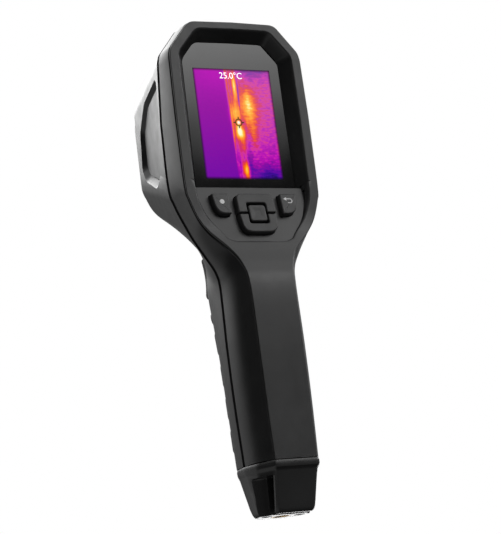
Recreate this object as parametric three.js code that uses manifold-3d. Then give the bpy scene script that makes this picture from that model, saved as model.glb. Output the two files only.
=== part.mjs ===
// Hand-held thermal imaging camera: a head with a screen behind and lenses in front, on a straight grip.
// Millimetres, +Z up. The screen faces -Y and the lenses face +Y. X = 0 is the plane of symmetry.
// Inside this file Y = 0 is the flat rear face of the screen surround. The exported group is moved
// along Y so that its origin lies on the floor, under the middle of the object.
import * as THREE from "three";
import { mergeVertices } from "three/addons/utils/BufferGeometryUtils.js";
import Module from "manifold-3d";

// ---------------------------------------------------------------- driving dimensions
const HEIGHT = 210; // foot to the top of the head
const BACK_Y = -6.4; // rear face of the grip
const FRONT_Y = 74.6; // foremost edge of the nose ring
const NOSE_Y = 68; // front face of the front shell
const SEAM_Y = 11; // joint between middle frame and front shell, which bows forward beside the head
const GRIP_BOTTOM = 21; // where the shells end and the foot begins
const REAR_SEAM = 0.9; // joint groove between rear cover and middle frame, filled by a seal
const FRONT_SEAM = 1.8; // joint groove between middle frame and front shell, filled by a seal
const SKIRT = 0.6; // side of the rear cover that shows outside its joint
const WALL = 2.2; // wall of every moulded shell
const GAP = 0.35; // clearance round loose and bonded pieces

const WINDOW_Y = 6; // outer face of the display window
const LCD_Z = 166.1; // height of the middle of the picture
const PAD_TOP = { y: 3.9, z: 137.3 }; // upper edge of the sloping key panel
const PAD_TILT = 10.5 * THREE.MathUtils.DEG2RAD; // the panel leans out to meet the grip at its foot
const KEY = { proud: 2.9, bevel: 0.5, stem: 1.5 }; // a key above and inside the panel
const TRIGGER = { w: 12, low: 98, high: 117, back: 30 };
const FLAP = { w: 22, y: 20, length: 22, thick: 2, barrel: 1.6, hinge: -1.1 };
const TRIPOD = { y: 13.4, r: 3.1, insert: 3.9, depth: 8 }; // quarter-inch socket in the foot
const STRAP_PIN = { r: 1.3, z: 5.2, y0: -0.4, y1: 8.6 };
const CELL_SIZE = { r: 9.2, length: 65, y: 11, z: 62 }; // 18650 battery

// ---------------------------------------------------------------- materials
const plastic = (color, roughness = 0.55) => new THREE.MeshStandardMaterial({ color, roughness });
const metal = (color, roughness = 0.35) =>
  new THREE.MeshStandardMaterial({ color, roughness, metalness: 1 });
const CASE = plastic(0x2c2d2f);
const KEYCAP = plastic(0x333436, 0.6);
const RUBBER = plastic(0x1d1d1e, 0.8);
const SEAL = plastic(0x0a0a0a, 0.7);
const GLOSS = plastic(0x070708, 0.08);
const INNER = plastic(0x3b3d40, 0.7);
const BOARD = plastic(0x0f5a32, 0.5);
const CELL = plastic(0x2a5fa8, 0.4);
const STEEL = metal(0xb8babd);
const BRASS = metal(0xc9a24a, 0.3);
const GERMANIUM = metal(0x54585c, 0.12);
const LENS = plastic(0xdfe6ea, 0.05);
const LCD_FACE = plastic(0x7a1fa0, 0.2);
const SOCKET = plastic(0xd8b21c, 0.5);

// ---------------------------------------------------------------- solids, by manifold-3d
const wasm = await Module();
wasm.setup();

function toSolid(geometry) {
  const bare = geometry.clone();
  for (const name of Object.keys(bare.attributes)) if (name !== "position") bare.deleteAttribute(name);
  const merged = mergeVertices(bare, 1e-4);
  const numbers = new Uint32Array(merged.index.array);
  const vertices = merged.attributes.position.array;
  return new wasm.Manifold(new wasm.Mesh({ numProp: 3, vertProperties: vertices, triVerts: numbers }));
}

function toGeometry(solid) {
  const made = solid.getMesh();
  const geometry = new THREE.BufferGeometry();
  geometry.setAttribute("position", new THREE.BufferAttribute(made.vertProperties, 3));
  geometry.setIndex(new THREE.BufferAttribute(made.triVerts, 1));
  const flat = geometry.toNonIndexed();
  flat.computeVertexNormals();
  return flat;
}

const cut = (geometry, ...tools) =>
  toGeometry(tools.reduce((left, tool) => left.subtract(toSolid(tool)), toSolid(geometry)));
const join = (geometry, ...more) =>
  toGeometry(more.reduce((sum, other) => sum.add(toSolid(other)), toSolid(geometry)));
const common = (geometry, other) => toGeometry(toSolid(geometry).intersect(toSolid(other)));

// ---------------------------------------------------------------- small shape helpers
const box = (w, d, h, x = 0, y = 0, z = 0) => new THREE.BoxGeometry(w, d, h).translate(x, y, z);

// A cylinder along "X", "Y" or "Z", centred on the point given.
function rod(r, length, [x, y, z], axis = "Y", sides = 20) {
  const geometry = new THREE.CylinderGeometry(r, r, length, sides);
  if (axis === "Z") geometry.rotateX(Math.PI / 2);
  if (axis === "X") geometry.rotateZ(Math.PI / 2);
  return geometry.translate(x, y, z);
}

// A closed outline in X and Z from its right half, listed from top to bottom.
const whole = (half) => [...half, ...half.filter(([x]) => x > 0).map(([x, z]) => [-x, z]).reverse()];
const shapeOf = (points) => new THREE.Shape(points.map(([x, z]) => new THREE.Vector2(x, z)));

// Moves a shape's outline outwards by t.
function grown(shape, t) {
  const drawn = shape.getPoints(4);
  const p = drawn.filter((q, i) => q.distanceTo(drawn[(i + 1) % drawn.length]) > 1e-4);
  const turn = THREE.ShapeUtils.area(p) > 0 ? 1 : -1;
  const moved = p.map((q, i) => {
    const a = p[(i + p.length - 1) % p.length];
    const b = p[(i + 1) % p.length];
    const before = new THREE.Vector2(q.y - a.y, a.x - q.x).normalize();
    const after = new THREE.Vector2(b.y - q.y, q.x - b.x).normalize();
    const n = before.add(after);
    return q.clone().addScaledVector(n, (turn * t * 2) / n.lengthSq());
  });
  return new THREE.Shape(moved);
}

// Extrudes an outline in X and Z from y0 to y1.
function plate(shape, y0, y1) {
  const options = { depth: y1 - y0, bevelEnabled: false, curveSegments: 4 };
  return new THREE.ExtrudeGeometry(shape, options).rotateX(Math.PI / 2).translate(0, y1, 0);
}

// Extrudes an outline in Y and Z along X, centred on X = 0.
function acrossX(shape, width, bevel = 0) {
  const options = {
    depth: width - 2 * bevel,
    bevelEnabled: bevel > 0,
    bevelSize: bevel,
    bevelThickness: bevel,
    bevelOffset: -bevel,
    bevelSegments: 1,
    curveSegments: 5,
  };
  const made = new THREE.ExtrudeGeometry(shape, options).translate(0, 0, bevel - width / 2);
  return made.applyMatrix4(new THREE.Matrix4().set(0, 0, 1, 0, 1, 0, 0, 0, 0, 1, 0, 0, 0, 0, 0, 1));
}

// A rectangle w by h with corners of radius r, centred on (x, z).
function roundedRect(w, h, r, x = 0, z = 0) {
  const [a, b] = [w / 2 - r, h / 2 - r];
  const shape = new THREE.Shape();
  shape.absarc(x + a, z - b, r, -Math.PI / 2, 0);
  shape.absarc(x + a, z + b, r, 0, Math.PI / 2);
  shape.absarc(x - a, z + b, r, Math.PI / 2, Math.PI);
  shape.absarc(x - a, z - b, r, Math.PI, 1.5 * Math.PI);
  return shape;
}

// Builds a closed mesh from points and faces, and turns it inside out if it has to be.
function meshOf(points, faces) {
  const seen = new Map();
  const same = points.map((p, i) => {
    const key = p.map((v) => Math.round(v * 1e3)).join();
    if (!seen.has(key)) seen.set(key, i);
    return seen.get(key);
  });
  const kept = faces
    .map((f) => f.map((i) => same[i]))
    .filter(([a, b, c]) => a !== b && b !== c && c !== a);
  const geometry = new THREE.BufferGeometry();
  geometry.setAttribute("position", new THREE.Float32BufferAttribute(points.flat(), 3));
  geometry.setIndex(kept.flat());
  if (toSolid(geometry).volume() < 0) geometry.setIndex(kept.flatMap(([a, b, c]) => [a, c, b]));
  return geometry;
}

// A solid through a stack of rings that have the same number of points.
function stack(rings) {
  const n = rings[0].length;
  const faces = [];
  for (let k = 0; k + 1 < rings.length; k++)
    for (let i = 0; i < n; i++) {
      const j = (i + 1) % n;
      const [a, b, c, d] = [k * n + i, k * n + j, (k + 1) * n + j, (k + 1) * n + i];
      faces.push([a, b, c], [a, c, d]);
    }
  const across = rings[0].some((p) => Math.abs(p[1] - rings[0][0][1]) > 1e-6) ? 1 : 2;
  const flat = rings[0].map((p) => new THREE.Vector2(p[0], p[across]));
  const turn = THREE.ShapeUtils.area(flat) > 0 ? 1 : -1;
  const last = (rings.length - 1) * n;
  for (const cap of THREE.ShapeUtils.triangulateShape(turn > 0 ? flat : [...flat].reverse(), [])) {
    const [p, q, r] = turn > 0 ? cap : cap.map((i) => n - 1 - i).reverse();
    faces.push([r, q, p], [last + p, last + q, last + r]);
  }
  return meshOf(rings.flat(), faces);
}

// A solid between two outlines in X and Z, at y0 and y1.
const loft = (halfA, y0, halfB, y1) =>
  stack([whole(halfA).map(([x, z]) => [x, y0, z]), whole(halfB).map(([x, z]) => [x, y1, z])]);

// ---------------------------------------------------------------- the body's three long edges
// Each edge runs down the right side from the top centre to the grip's end, and their stations
// answer one another: top centre, top corner, chamfer foot, side, hip, waist, neck and the grip.
const REAR_EDGE = [
  [0, 0, 209.6], [20.2, 0, 209.2], [30.9, 0, 196.2], [31.4, 0, 168], [31.2, 0, 137],
  [30.2, 0, 130.6], [27.2, -0.1, 122.6], [23, -0.6, 116.8], [15, -2.5, 108.6],
  [11.6, -4.6, 101.8], [10.3, -6, 93.5], [10, BACK_Y, 70], [9.9, BACK_Y, 45], [9.5, BACK_Y, GRIP_BOTTOM],
];
const MIDDLE_EDGE = [
  [0, SEAM_Y, HEIGHT], [20.8, SEAM_Y, 209.7], [31.6, SEAM_Y, 196.2], [32, SEAM_Y + 3.4, 168],
  [31.8, SEAM_Y + 4.3, 141], [30.3, SEAM_Y + 3.4, 132], [27.2, SEAM_Y + 2, 122.8],
  [24.4, SEAM_Y + 0.7, 115.6], [20, SEAM_Y, 107.8], [16.6, SEAM_Y, 101.6], [15.6, SEAM_Y, 94],
  [16, SEAM_Y, 70], [15.8, SEAM_Y, 45], [15, SEAM_Y, GRIP_BOTTOM],
];
const FRONT_EDGE = [
  [0, NOSE_Y, 202.4], [14.8, NOSE_Y, 202], [18.8, NOSE_Y, 190.6], [19.1, NOSE_Y, 172],
  [19.3, NOSE_Y, 158], [18, NOSE_Y, 151.4], [14.6, 67.2, 144.2], [9.4, 61.4, 136.4],
  [6.6, 49.8, 126.4], [6.2, 39, 115.6], [6, 36.2, 101], [5, 31.2, 70],
  [5, 29.3, 45], [4.8, 28.6, GRIP_BOTTOM],
];
const CORNER = 0.14; // share of a straight stretch that each corner rounding takes
const FIRST_LOWER = 9; // points before this one belong to the top and its corners

// The same number of points along every edge.
function edgePoints(stations) {
  const p = stations.map((s) => new THREE.Vector3(...s));
  const out = [p[0].clone()];
  for (const i of [1, 2]) {
    const before = p[i].clone().lerp(p[i - 1], CORNER);
    const after = p[i].clone().lerp(p[i + 1], CORNER);
    out.push(...new THREE.QuadraticBezierCurve3(before, p[i], after).getPoints(3));
  }
  const lower = new THREE.CatmullRomCurve3(p.slice(3), false, "catmullrom", 0.5);
  out.push(...lower.getPoints(2 * (p.length - 4)));
  return out;
}

// How much a point along an edge belongs to the straight-sided head (1) or to the round grip (0).
const headness = (i) => 1 - THREE.MathUtils.smoothstep(3 + (i - FIRST_LOWER) / 2, 7.8, 10.4);

// Moves an edge's points inwards by t in X and Z, and by dy along Y.
function insetPoints(points, t, dy) {
  return points.map((p, i) => {
    if (i === 0) return new THREE.Vector3(0, p.y + dy, p.z - t);
    const a = points[i - 1];
    const b = points[Math.min(points.length - 1, i + 1)];
    const along = new THREE.Vector2(b.x - a.x, b.z - a.z).normalize();
    const z = i === points.length - 1 ? GRIP_BOTTOM : p.z - along.x * t;
    return new THREE.Vector3(p.x + along.y * t, p.y + dy, z);
  });
}

const edges = (t) => ({
  rear: insetPoints(edgePoints(REAR_EDGE), t, 0),
  middle: insetPoints(edgePoints(MIDDLE_EDGE), t, 0),
  front: insetPoints(edgePoints(FRONT_EDGE), t, -t),
});

// Share of the widening reached at share v of the way from the rear to the middle edge: a straight
// chamfer at first, then a curve that ends running straight along Y.
const CHAMFER_END = 0.2;
const ROUNDING = 3.2; // how quickly the curve turns
const CHAMFER_RISE = 1 / (CHAMFER_END + (1 - CHAMFER_END) / ROUNDING);
function sideCurve(v) {
  if (v < CHAMFER_END) return CHAMFER_RISE * v;
  const left = Math.max(0, 1 - v);
  return 1 - (CHAMFER_RISE * left * (left / (1 - CHAMFER_END)) ** (ROUNDING - 1)) / ROUNDING;
}

// One row along the side between the rear and middle edges.
function sideRow(e, y) {
  return e.rear.map((r, i) => {
    const m = e.middle[i];
    const v = (y(r, m) - r.y) / (m.y - r.y);
    const f = sideCurve(v);
    return new THREE.Vector3(r.x + (m.x - r.x) * f, r.y + (m.y - r.y) * v, r.z + (m.z - r.z) * f);
  });
}

// Rows from the middle edge forward to the front edge: straight on the head, round on the grip.
function frontRows(e, steps) {
  return Array.from({ length: steps + 1 }, (_, k) => {
    const t = k / steps;
    const angle = (t * Math.PI) / 2;
    return e.middle.map((m, i) => {
      const f = e.front[i];
      const inward = THREE.MathUtils.lerp(1 - Math.cos(angle), t, headness(i));
      const forward = THREE.MathUtils.lerp(Math.sin(angle), t, headness(i));
      const y0 = m.y + FRONT_SEAM / 2;
      return new THREE.Vector3(
        m.x + (f.x - m.x) * inward,
        y0 + (f.y - y0) * forward,
        m.z + (f.z - m.z) * inward,
      );
    });
  });
}

// Closes outer and inner rows into one thick skin with four edge walls.
function skin(outer, inner, hasStart) {
  const points = [];
  const faces = [];
  const add = (grid) => grid.map((row) => row.map((p) => points.push([p.x, p.y, p.z]) - 1));
  const quad = (a, b, c, d) => faces.push([a, b, c], [a, c, d]);
  const sheet = (grid, flip) => {
    for (let i = 0; i + 1 < grid.length; i++)
      for (let j = 0; j + 1 < grid[i].length; j++) {
        const q = [grid[i][j], grid[i][j + 1], grid[i + 1][j + 1], grid[i + 1][j]];
        quad(...(flip ? q.reverse() : q));
      }
  };
  const wall = (a, b) => {
    for (let j = 0; j + 1 < a.length; j++) quad(a[j], b[j], b[j + 1], a[j + 1]);
  };
  const column = (grid, j) => grid.map((row) => row.at(j));
  const [o, n] = [add(outer), add(inner)];
  sheet(o, false);
  sheet(n, true);
  wall(o[0], n[0]);
  wall(n.at(-1), o.at(-1));
  wall(column(o, -1), column(n, -1));
  if (hasStart) wall(column(n, 0), column(o, 0));
  return meshOf(points, faces);
}

const mirrored = (row) => row.map((p) => new THREE.Vector3(-p.x, p.y, p.z));

// A skin that bridges the middle of the body, from rows on its right side.
function shell(outer, inner) {
  const across = (rows) => [...rows, ...rows.map(mirrored).reverse()];
  return skin(across(outer), across(inner), false);
}

// A skin that runs up one side, over the top and down the other.
function band(outer, inner) {
  const over = (rows) => rows.map((row) => [...mirrored(row.slice(1)).reverse(), ...row]);
  return skin(over(outer), over(inner), true);
}

// ---------------------------------------------------------------- shells and seals
function middleFrame() {
  const rows = (e) =>
    [0, 0.12, 0.25, 0.4, 0.6, 1].map((t) =>
      sideRow(e, (r, m) =>
        THREE.MathUtils.lerp(r.y + SKIRT + REAR_SEAM, m.y - FRONT_SEAM / 2, t),
      ),
    );
  return band(rows(edges(0)), rows(edges(WALL)));
}

function seal(from, to) {
  const rows = (e) => [from, to].map((y) => sideRow(e, y));
  return band(rows(edges(0.6)), rows(edges(WALL - 0.2)));
}
const rearSeal = () =>
  seal(
    (r) => r.y + SKIRT + 0.3,
    (r) => r.y + SKIRT + REAR_SEAM - 0.3,
  );
const frontSeal = () =>
  seal(
    (r, m) => m.y - FRONT_SEAM / 2 + 0.3,
    (r, m) => m.y + FRONT_SEAM / 2 - 0.3,
  );

// ---------------------------------------------------------------- rear cover and keys
// Right halves, from the top centre down: the surround's inner edge, the window and the key panel.
const SURROUND = [[0, 206.2], [17.3, 206], [26.7, 195], [27, 168], [26.85, PAD_TOP.z]];
const WINDOW = [[0, 202.4], [16.4, 202.2], [23, 194.2], [23.2, 168], [23.7, PAD_TOP.z]];
const PANEL = [[24.9, 0], [24.6, -6.8], [21.9, -14.5], [17, -21], [14.8, -23.8], [11.4, -25.1]];
const PANEL_THICK = 2;
const PANEL_DRAFT = 0.5; // how fast the panel's surround flares out

// Geometry drawn with the panel's face on Y = 0 and its upper edge on Z = 0 is laid on the slope.
const ontoPanel = (geometry) => geometry.rotateX(-PAD_TILT).translate(0, PAD_TOP.y, PAD_TOP.z);

const PADDLE = {
  x: 8.7,
  top: -4.2,
  middle: -13.2,
  bottom: -22,
  hole: 4.5,
  holeTop: -8.6,
  holeBottom: -17.9,
};
const SPLIT = 0.35; // half the slit between the upper and the lower direction keys

function cornerKey(side) {
  const s = new THREE.Shape();
  s.moveTo(side * 12, -4.2);
  s.lineTo(side * 19.8, -4.2);
  s.lineTo(side * 19.3, -9);
  s.quadraticCurveTo(side * 18.6, -13.6, side * 14.4, -13.6);
  s.lineTo(side * 12, -13.6);
  return s;
}

function upperArch() {
  const { x, top, middle, hole, holeTop } = PADDLE;
  const s = new THREE.Shape();
  s.moveTo(-x, middle + SPLIT);
  s.lineTo(-x, top - 3);
  s.quadraticCurveTo(-x, top, -x + 3, top);
  s.lineTo(x - 3, top);
  s.quadraticCurveTo(x, top, x, top - 3);
  s.lineTo(x, middle + SPLIT);
  s.lineTo(hole, middle + SPLIT);
  s.lineTo(hole, holeTop);
  s.lineTo(-hole, holeTop);
  s.lineTo(-hole, middle + SPLIT);
  return s;
}

function lowerArch() {
  const { x, middle, bottom, hole, holeBottom } = PADDLE;
  const s = new THREE.Shape();
  s.moveTo(-x, middle - SPLIT);
  s.lineTo(-hole, middle - SPLIT);
  s.lineTo(-hole, holeBottom);
  s.lineTo(hole, holeBottom);
  s.lineTo(hole, middle - SPLIT);
  s.lineTo(x, middle - SPLIT);
  s.lineTo(x - 0.4, bottom + 4.4);
  s.quadraticCurveTo(x - 0.6, bottom, x - 5, bottom);
  s.lineTo(5 - x, bottom);
  s.quadraticCurveTo(0.6 - x, bottom, 0.4 - x, bottom + 4.4);
  return s;
}

const KEY_SHAPES = {
  key_capture: cornerKey(-1),
  key_up: upperArch(),
  key_down: lowerArch(),
  key_select: roundedRect(8, 7.6, 1.3, 0, (PADDLE.holeTop + PADDLE.holeBottom) / 2),
  key_back: cornerKey(1),
};

function keyCap(shape) {
  const straight = plate(shape, 0.3 - KEY.proud + KEY.bevel, KEY.stem);
  const top = plate(grown(shape, -KEY.bevel), -KEY.proud, 0.35 - KEY.proud + KEY.bevel);
  return ontoPanel(join(straight, top));
}

function rearCover() {
  const outer = edges(0);
  const inner = edges(WALL + 0.4);
  const rows = (e, depth) => [
    sideRow(e, (r) => r.y + SKIRT),
    ...[1, 0.7, 0.35].map((f) => e.rear.map((p) => new THREE.Vector3(p.x * f, p.y + depth, p.z))),
  ];
  const blank = shell(rows(outer, 0), rows(inner, WALL));
  const flange = (half, t) => whole(half).map(([x, z]) => [x + Math.sign(x) * t, z + (z > 150 ? t : -t)]);
  const ring = (half, t, y) => flange(half, t).map(([x, z]) => [x, y, z]);
  const funnel = stack([ring(SURROUND, 1.1, 1.2), ring(WINDOW, 1.5, WINDOW_Y + 1.4)]);
  const panelShape = grown(shapeOf(whole(PANEL)), 1.4);
  const panel = ontoPanel(plate(panelShape, 0, PANEL_THICK));
  const reach = 1.5; // the funnel's cutter runs on outside the rear face by this share of its depth
  const wide = SURROUND.map(([x, z], i) => {
    const [wx, wz] = WINDOW[i];
    return [x + (x - wx) * reach, z + (z - wz) * reach];
  });
  const funnelHole = loft(wide, -reach * WINDOW_Y, WINDOW, WINDOW_Y);
  const windowHole = plate(shapeOf(whole(WINDOW)), WINDOW_Y - 0.01, WINDOW_Y + 5);
  const flare = 8;
  const spread = flare * PANEL_DRAFT;
  const mouth = PANEL.map(([x, z], i) => [x + spread, i ? z - spread * 0.3 : z + 2]);
  const floor = PANEL.map(([x, z], i) => [x, i ? z : z + 0.6]);
  const panelHole = ontoPanel(loft(mouth, -flare, floor, 0));
  const { x, middle, hole, holeTop, holeBottom } = PADDLE;
  const waist = shapeOf([[-x, middle - 1], [x, middle - 1], [x, middle + 1], [-x, middle + 1]]);
  const centre = roundedRect(2 * hole + 1, holeTop - holeBottom + 1, 0.5, 0, (holeTop + holeBottom) / 2);
  const openings = [...Object.values(KEY_SHAPES).map((shape) => grown(shape, GAP)), waist, centre];
  const keyHoles = openings.map((shape) => ontoPanel(plate(shape, -1, PANEL_THICK + 3)));
  return cut(join(blank, funnel, panel), funnelHole, windowHole, panelHole, ...keyHoles);
}

const displayWindow = () => plate(grown(shapeOf(whole(WINDOW)), -GAP), WINDOW_Y, WINDOW_Y + 1.4);
const lcdPanel = () => box(42, 2, 57, 0, WINDOW_Y + 2.9, LCD_Z - 1);
const lcdBracket = () => {
  const pocket = box(42.7, 2.6, 57.7, 0, WINDOW_Y + 2.9, LCD_Z - 1);
  return cut(box(46, 4.2, 61, 0, WINDOW_Y + 4.2, LCD_Z - 1), pocket);
};
const underKeys = (y0, y1) => ontoPanel(plate(roundedRect(41, 20, 3, 0, -12.6), y0, y1));
const keyMat = () => underKeys(PANEL_THICK + 0.6, PANEL_THICK + 1.6);
const keyBoard = () => underKeys(PANEL_THICK + 2, PANEL_THICK + 3.2);

// ---------------------------------------------------------------- nose and its optics
function octagon(inset = 0) {
  const side = inset * 0.42; // a chamfer's ends slide along by this much when the outline shrinks
  const [w, top, bottom] = [18.4 - inset, 198.9 - inset, 143.2 + inset];
  return [
    [11 - side, top],
    [w, 188.5 - side],
    [w, 154.2 + side],
    [10.8 - side, bottom],
  ];
}

const OPTICS = {
  infrared: { x: 0, z: 171, r: 8.2 },
  worklight: { x: 0, z: 188.6, r: 4.4 },
  camera: { x: -6.2, z: 154.2, r: 3.4 },
  laser: { x: 6.2, z: 154.2, r: 2.3 },
};

const noseRing = () =>
  cut(
    loft(octagon(), NOSE_Y + 0.3, octagon(2.4), FRONT_Y),
    loft(octagon(4.2), NOSE_Y, octagon(3.6), FRONT_Y + 0.01),
  );

function noseWindow() {
  const blank = plate(shapeOf(whole(octagon(4.2 + GAP))), NOSE_Y - 0.2, NOSE_Y + 1.6);
  return cut(blank, ...Object.values(OPTICS).map((o) => rod(o.r + 0.3, 8, [o.x, NOSE_Y, o.z])));
}

function tube(o, outer, inner, y0, y1) {
  const centre = [o.x, (y0 + y1) / 2, o.z];
  return cut(rod(outer, y1 - y0, centre), rod(inner, y1 - y0 + 2, centre));
}

function lens(o, r, y0, y1, bulge) {
  const profile = [new THREE.Vector2(0, 0), new THREE.Vector2(r, 0)];
  for (let i = 0; i <= 4; i++) {
    const a = (i / 4) * (Math.PI / 2);
    profile.push(new THREE.Vector2(r * Math.cos(a), y1 - y0 + bulge * Math.sin(a)));
  }
  return new THREE.LatheGeometry(profile, 20).translate(o.x, y0, o.z);
}

// ---------------------------------------------------------------- recesses in the head's sides
const SIDE_SLOPE = Math.atan2(32 - 19.9, NOSE_Y - SEAM_Y);
const RECESS = [
  [18.5, 187.2], [44, 185.4], [56.4, 177], [58.4, 163], [54, 157.4], [36, 149.4], [21, 154.6],
];
const RECESS_DEPTH = 2.2;
const RECESS_TILT = 0.02; // the recess gets deeper towards the front
const RECESS_WALL = 1.6; // of the shell behind the recess

// A slab of the recess's outline on the head's right side. Its faces lie x0 and x1 above the floor,
// and its outline has grown by t0 and t1 there.
function sideSlab(x0, t0, x1, t1) {
  const ring = (x, t) => grown(shapeOf(RECESS), t).getPoints().map((p) => [p.x, -x, p.y]);
  const slab = stack([ring(x0, t0), ring(x1, t1)]).rotateZ(Math.PI / 2).translate(0, -17, 0);
  return slab.rotateZ(SIDE_SLOPE + RECESS_TILT).translate(30.75 - RECESS_DEPTH, 17, 0);
}

const recess = () => sideSlab(0, 0, 4, 4);
const recessBoss = () => sideSlab(-RECESS_WALL, 2.6, 1.2, 2.6);
const sidePanel = () => sideSlab(0.3, -GAP, 0.9, -GAP);

// The mirror image of a closed geometry, with its faces still pointing out.
function mirrorX(geometry) {
  const made = (geometry.index ? geometry.toNonIndexed() : geometry.clone()).scale(-1, 1, 1);
  const p = made.attributes.position;
  for (let i = 0; i < p.count; i += 3) {
    const [x, y, z] = [p.getX(i), p.getY(i), p.getZ(i)];
    p.setXYZ(i, p.getX(i + 1), p.getY(i + 1), p.getZ(i + 1));
    p.setXYZ(i + 1, x, y, z);
  }
  made.computeVertexNormals();
  return made;
}

// ---------------------------------------------------------------- top flap over the sockets
const TOP_SLOPE = Math.atan2(HEIGHT - 202.4, NOSE_Y - SEAM_Y - FRONT_SEAM / 2);
const flapZ = HEIGHT - (FLAP.y - SEAM_Y - FRONT_SEAM / 2) * Math.tan(TOP_SLOPE);
// Geometry drawn with the head's top face on Z = 0 and the hinge on Y = 0 is laid on the slope.
const ontoTop = (geometry) => geometry.rotateX(-TOP_SLOPE).translate(0, FLAP.y, flapZ);

function portFlap() {
  const leaf = box(FLAP.w - 2 * GAP, FLAP.length, FLAP.thick, 0, FLAP.length / 2, FLAP.hinge);
  const pull = box(8, 1.6, 1.4, 0, FLAP.length - 1.4, 0.3);
  const barrel = rod(FLAP.barrel, FLAP.w - 2 * GAP, [0, 0, FLAP.hinge], "X", 16);
  const bore = rod(0.85, FLAP.w + 2, [0, 0, FLAP.hinge], "X", 12);
  return ontoTop(cut(join(leaf, pull, barrel), bore));
}

const flapPin = () => ontoTop(rod(0.5, FLAP.w + 5, [0, 0, FLAP.hinge], "X", 12));

function flapOpening() {
  const mouth = box(FLAP.w, FLAP.length + 2 * GAP, 12, 0, FLAP.length / 2 + GAP, -1);
  const barrel = rod(FLAP.barrel + 0.4, FLAP.w, [0, 0, FLAP.hinge], "X", 16);
  const bore = rod(0.8, FLAP.w + 6, [0, 0, FLAP.hinge], "X", 12);
  return ontoTop(join(mouth, barrel, bore));
}

const THERMO = { w: 16.4, d: 6, y: 6 };
const USB = { w: 9.2, d: 3.4, y: 15 };

function portTray() {
  const outside = box(25, 26, 13, 0, 11, -9.2);
  const pocket = box(20, 20, 13, 0, 11, -7.2);
  const thermo = box(THERMO.w + 0.7, THERMO.d + 0.7, 20, 0, THERMO.y, -10);
  const usb = box(USB.w + 0.7, USB.d + 0.7, 20, 0, USB.y, -10);
  return ontoTop(cut(outside, pocket, thermo, usb));
}

function thermocoupleSocket() {
  const body = box(THERMO.w, THERMO.d, 8, 0, THERMO.y, -16);
  const slots = [-4, 4].map((x) => box(3.4, 1.2, 6, x, THERMO.y, -14));
  return ontoTop(cut(body, ...slots));
}

function usbSocket() {
  const body = box(USB.w, USB.d, 7.4, 0, USB.y, -16);
  return ontoTop(cut(body, box(8, 2.2, 6, 0, USB.y, -14)));
}

// ---------------------------------------------------------------- trigger
function triggerShape() {
  const { low, high, back } = TRIGGER;
  const s = new THREE.Shape();
  s.moveTo(back, low);
  s.lineTo(40.5, low);
  s.quadraticCurveTo(44.8, low, 44.6, low + 2.8);
  s.quadraticCurveTo(42.2, low + 9, 45, high - 1.6);
  s.lineTo(44, high);
  s.lineTo(back, high);
  return s;
}

const trigger = () => acrossX(triggerShape(), TRIGGER.w, 1);
const triggerSlot = () => {
  const { w, low, high } = TRIGGER;
  return box(w + 1, 34, high - low + 1, 0, 42, (high + low) / 2);
};

// A round wire wound along Y.
function coil(r, wire, turns, length) {
  const perTurn = 10;
  const points = Array.from({ length: turns * perTurn + 1 }, (_, i) => {
    const a = (i / perTurn) * 2 * Math.PI;
    return new THREE.Vector3(r * Math.cos(a), (i / (turns * perTurn)) * length, r * Math.sin(a));
  });
  const round = new THREE.Shape().absarc(0, 0, wire, 0, 2 * Math.PI);
  const extrudePath = new THREE.CatmullRomCurve3(points);
  return new THREE.ExtrudeGeometry(round, {
    steps: turns * perTurn,
    curveSegments: 3,
    bevelEnabled: false,
    extrudePath,
  });
}

// ---------------------------------------------------------------- grip pad
const PAD = { low: 27, high: 90, half: 12, depth: 1.3, rib: 0.4, pitch: 14 };

// The part of the front shell's surface between two depths, inside a box.
function frontLayer(outside, inside, grow) {
  const layer = shell(frontRows(edges(outside), 6), frontRows(edges(inside), 6));
  const height = PAD.high - PAD.low + 2 * grow;
  return common(layer, box(2 * (PAD.half + grow), 40, height, 0, 39 - grow, (PAD.high + PAD.low) / 2));
}

function gripPad() {
  const rib = (z) => {
    const wedge = shapeOf([[15, z - 5], [60, z - 5], [60, z + 4], [15, z + 4]]);
    return acrossX(wedge, 30);
  };
  const proud = frontLayer(-PAD.rib, PAD.depth, 0);
  const flat = frontLayer(0, PAD.depth, 0);
  const ribs = [];
  for (let z = PAD.low + 7; z < PAD.high; z += PAD.pitch) ribs.push(common(proud, rib(z)));
  return join(flat, ...ribs);
}

// ---------------------------------------------------------------- foot
// Height, rear Y, front Y, and half widths at the rear, the middle and the front.
const FOOT = [
  [GRIP_BOTTOM - 0.35, BACK_Y - 0.2, 29, 10, 15.5, 6.5],
  [18.4, BACK_Y - 0.4, 28.8, 10.2, 15.6, 6.6],
  [16.4, -5.4, 27.9, 9.6, 14.85, 6.25],
  [8, -2.8, 25.4, 9.2, 13.2, 6],
  [1.9, -1.1, 22.6, 8.6, 12.3, 5.8],
  [0, 0.2, 20.6, 7.2, 10.9, 5.2],
];
const SLOT = { top: 15.2, rear: -3.2, front: 3.4, lean: 2.8 }; // a strap's way through the foot

function footRing([z, rear, front, atRear, atMiddle, atFront]) {
  const middle = rear + (front - rear) * 0.46;
  const half = [
    [0, rear],
    [atRear, rear],
    [atRear + (atMiddle - atRear) * 0.75, rear + (middle - rear) * 0.5],
    [atMiddle, middle],
    [atFront + (atMiddle - atFront) * 0.8, middle + (front - middle) * 0.55],
    [atFront + (atMiddle - atFront) * 0.3, middle + (front - middle) * 0.88],
    [atFront * 0.6, front],
  ];
  const left = half.slice(1).map(([x, y]) => [-x, y]).reverse();
  return [...half, ...left].map(([x, y]) => [x, y, z]);
}

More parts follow.
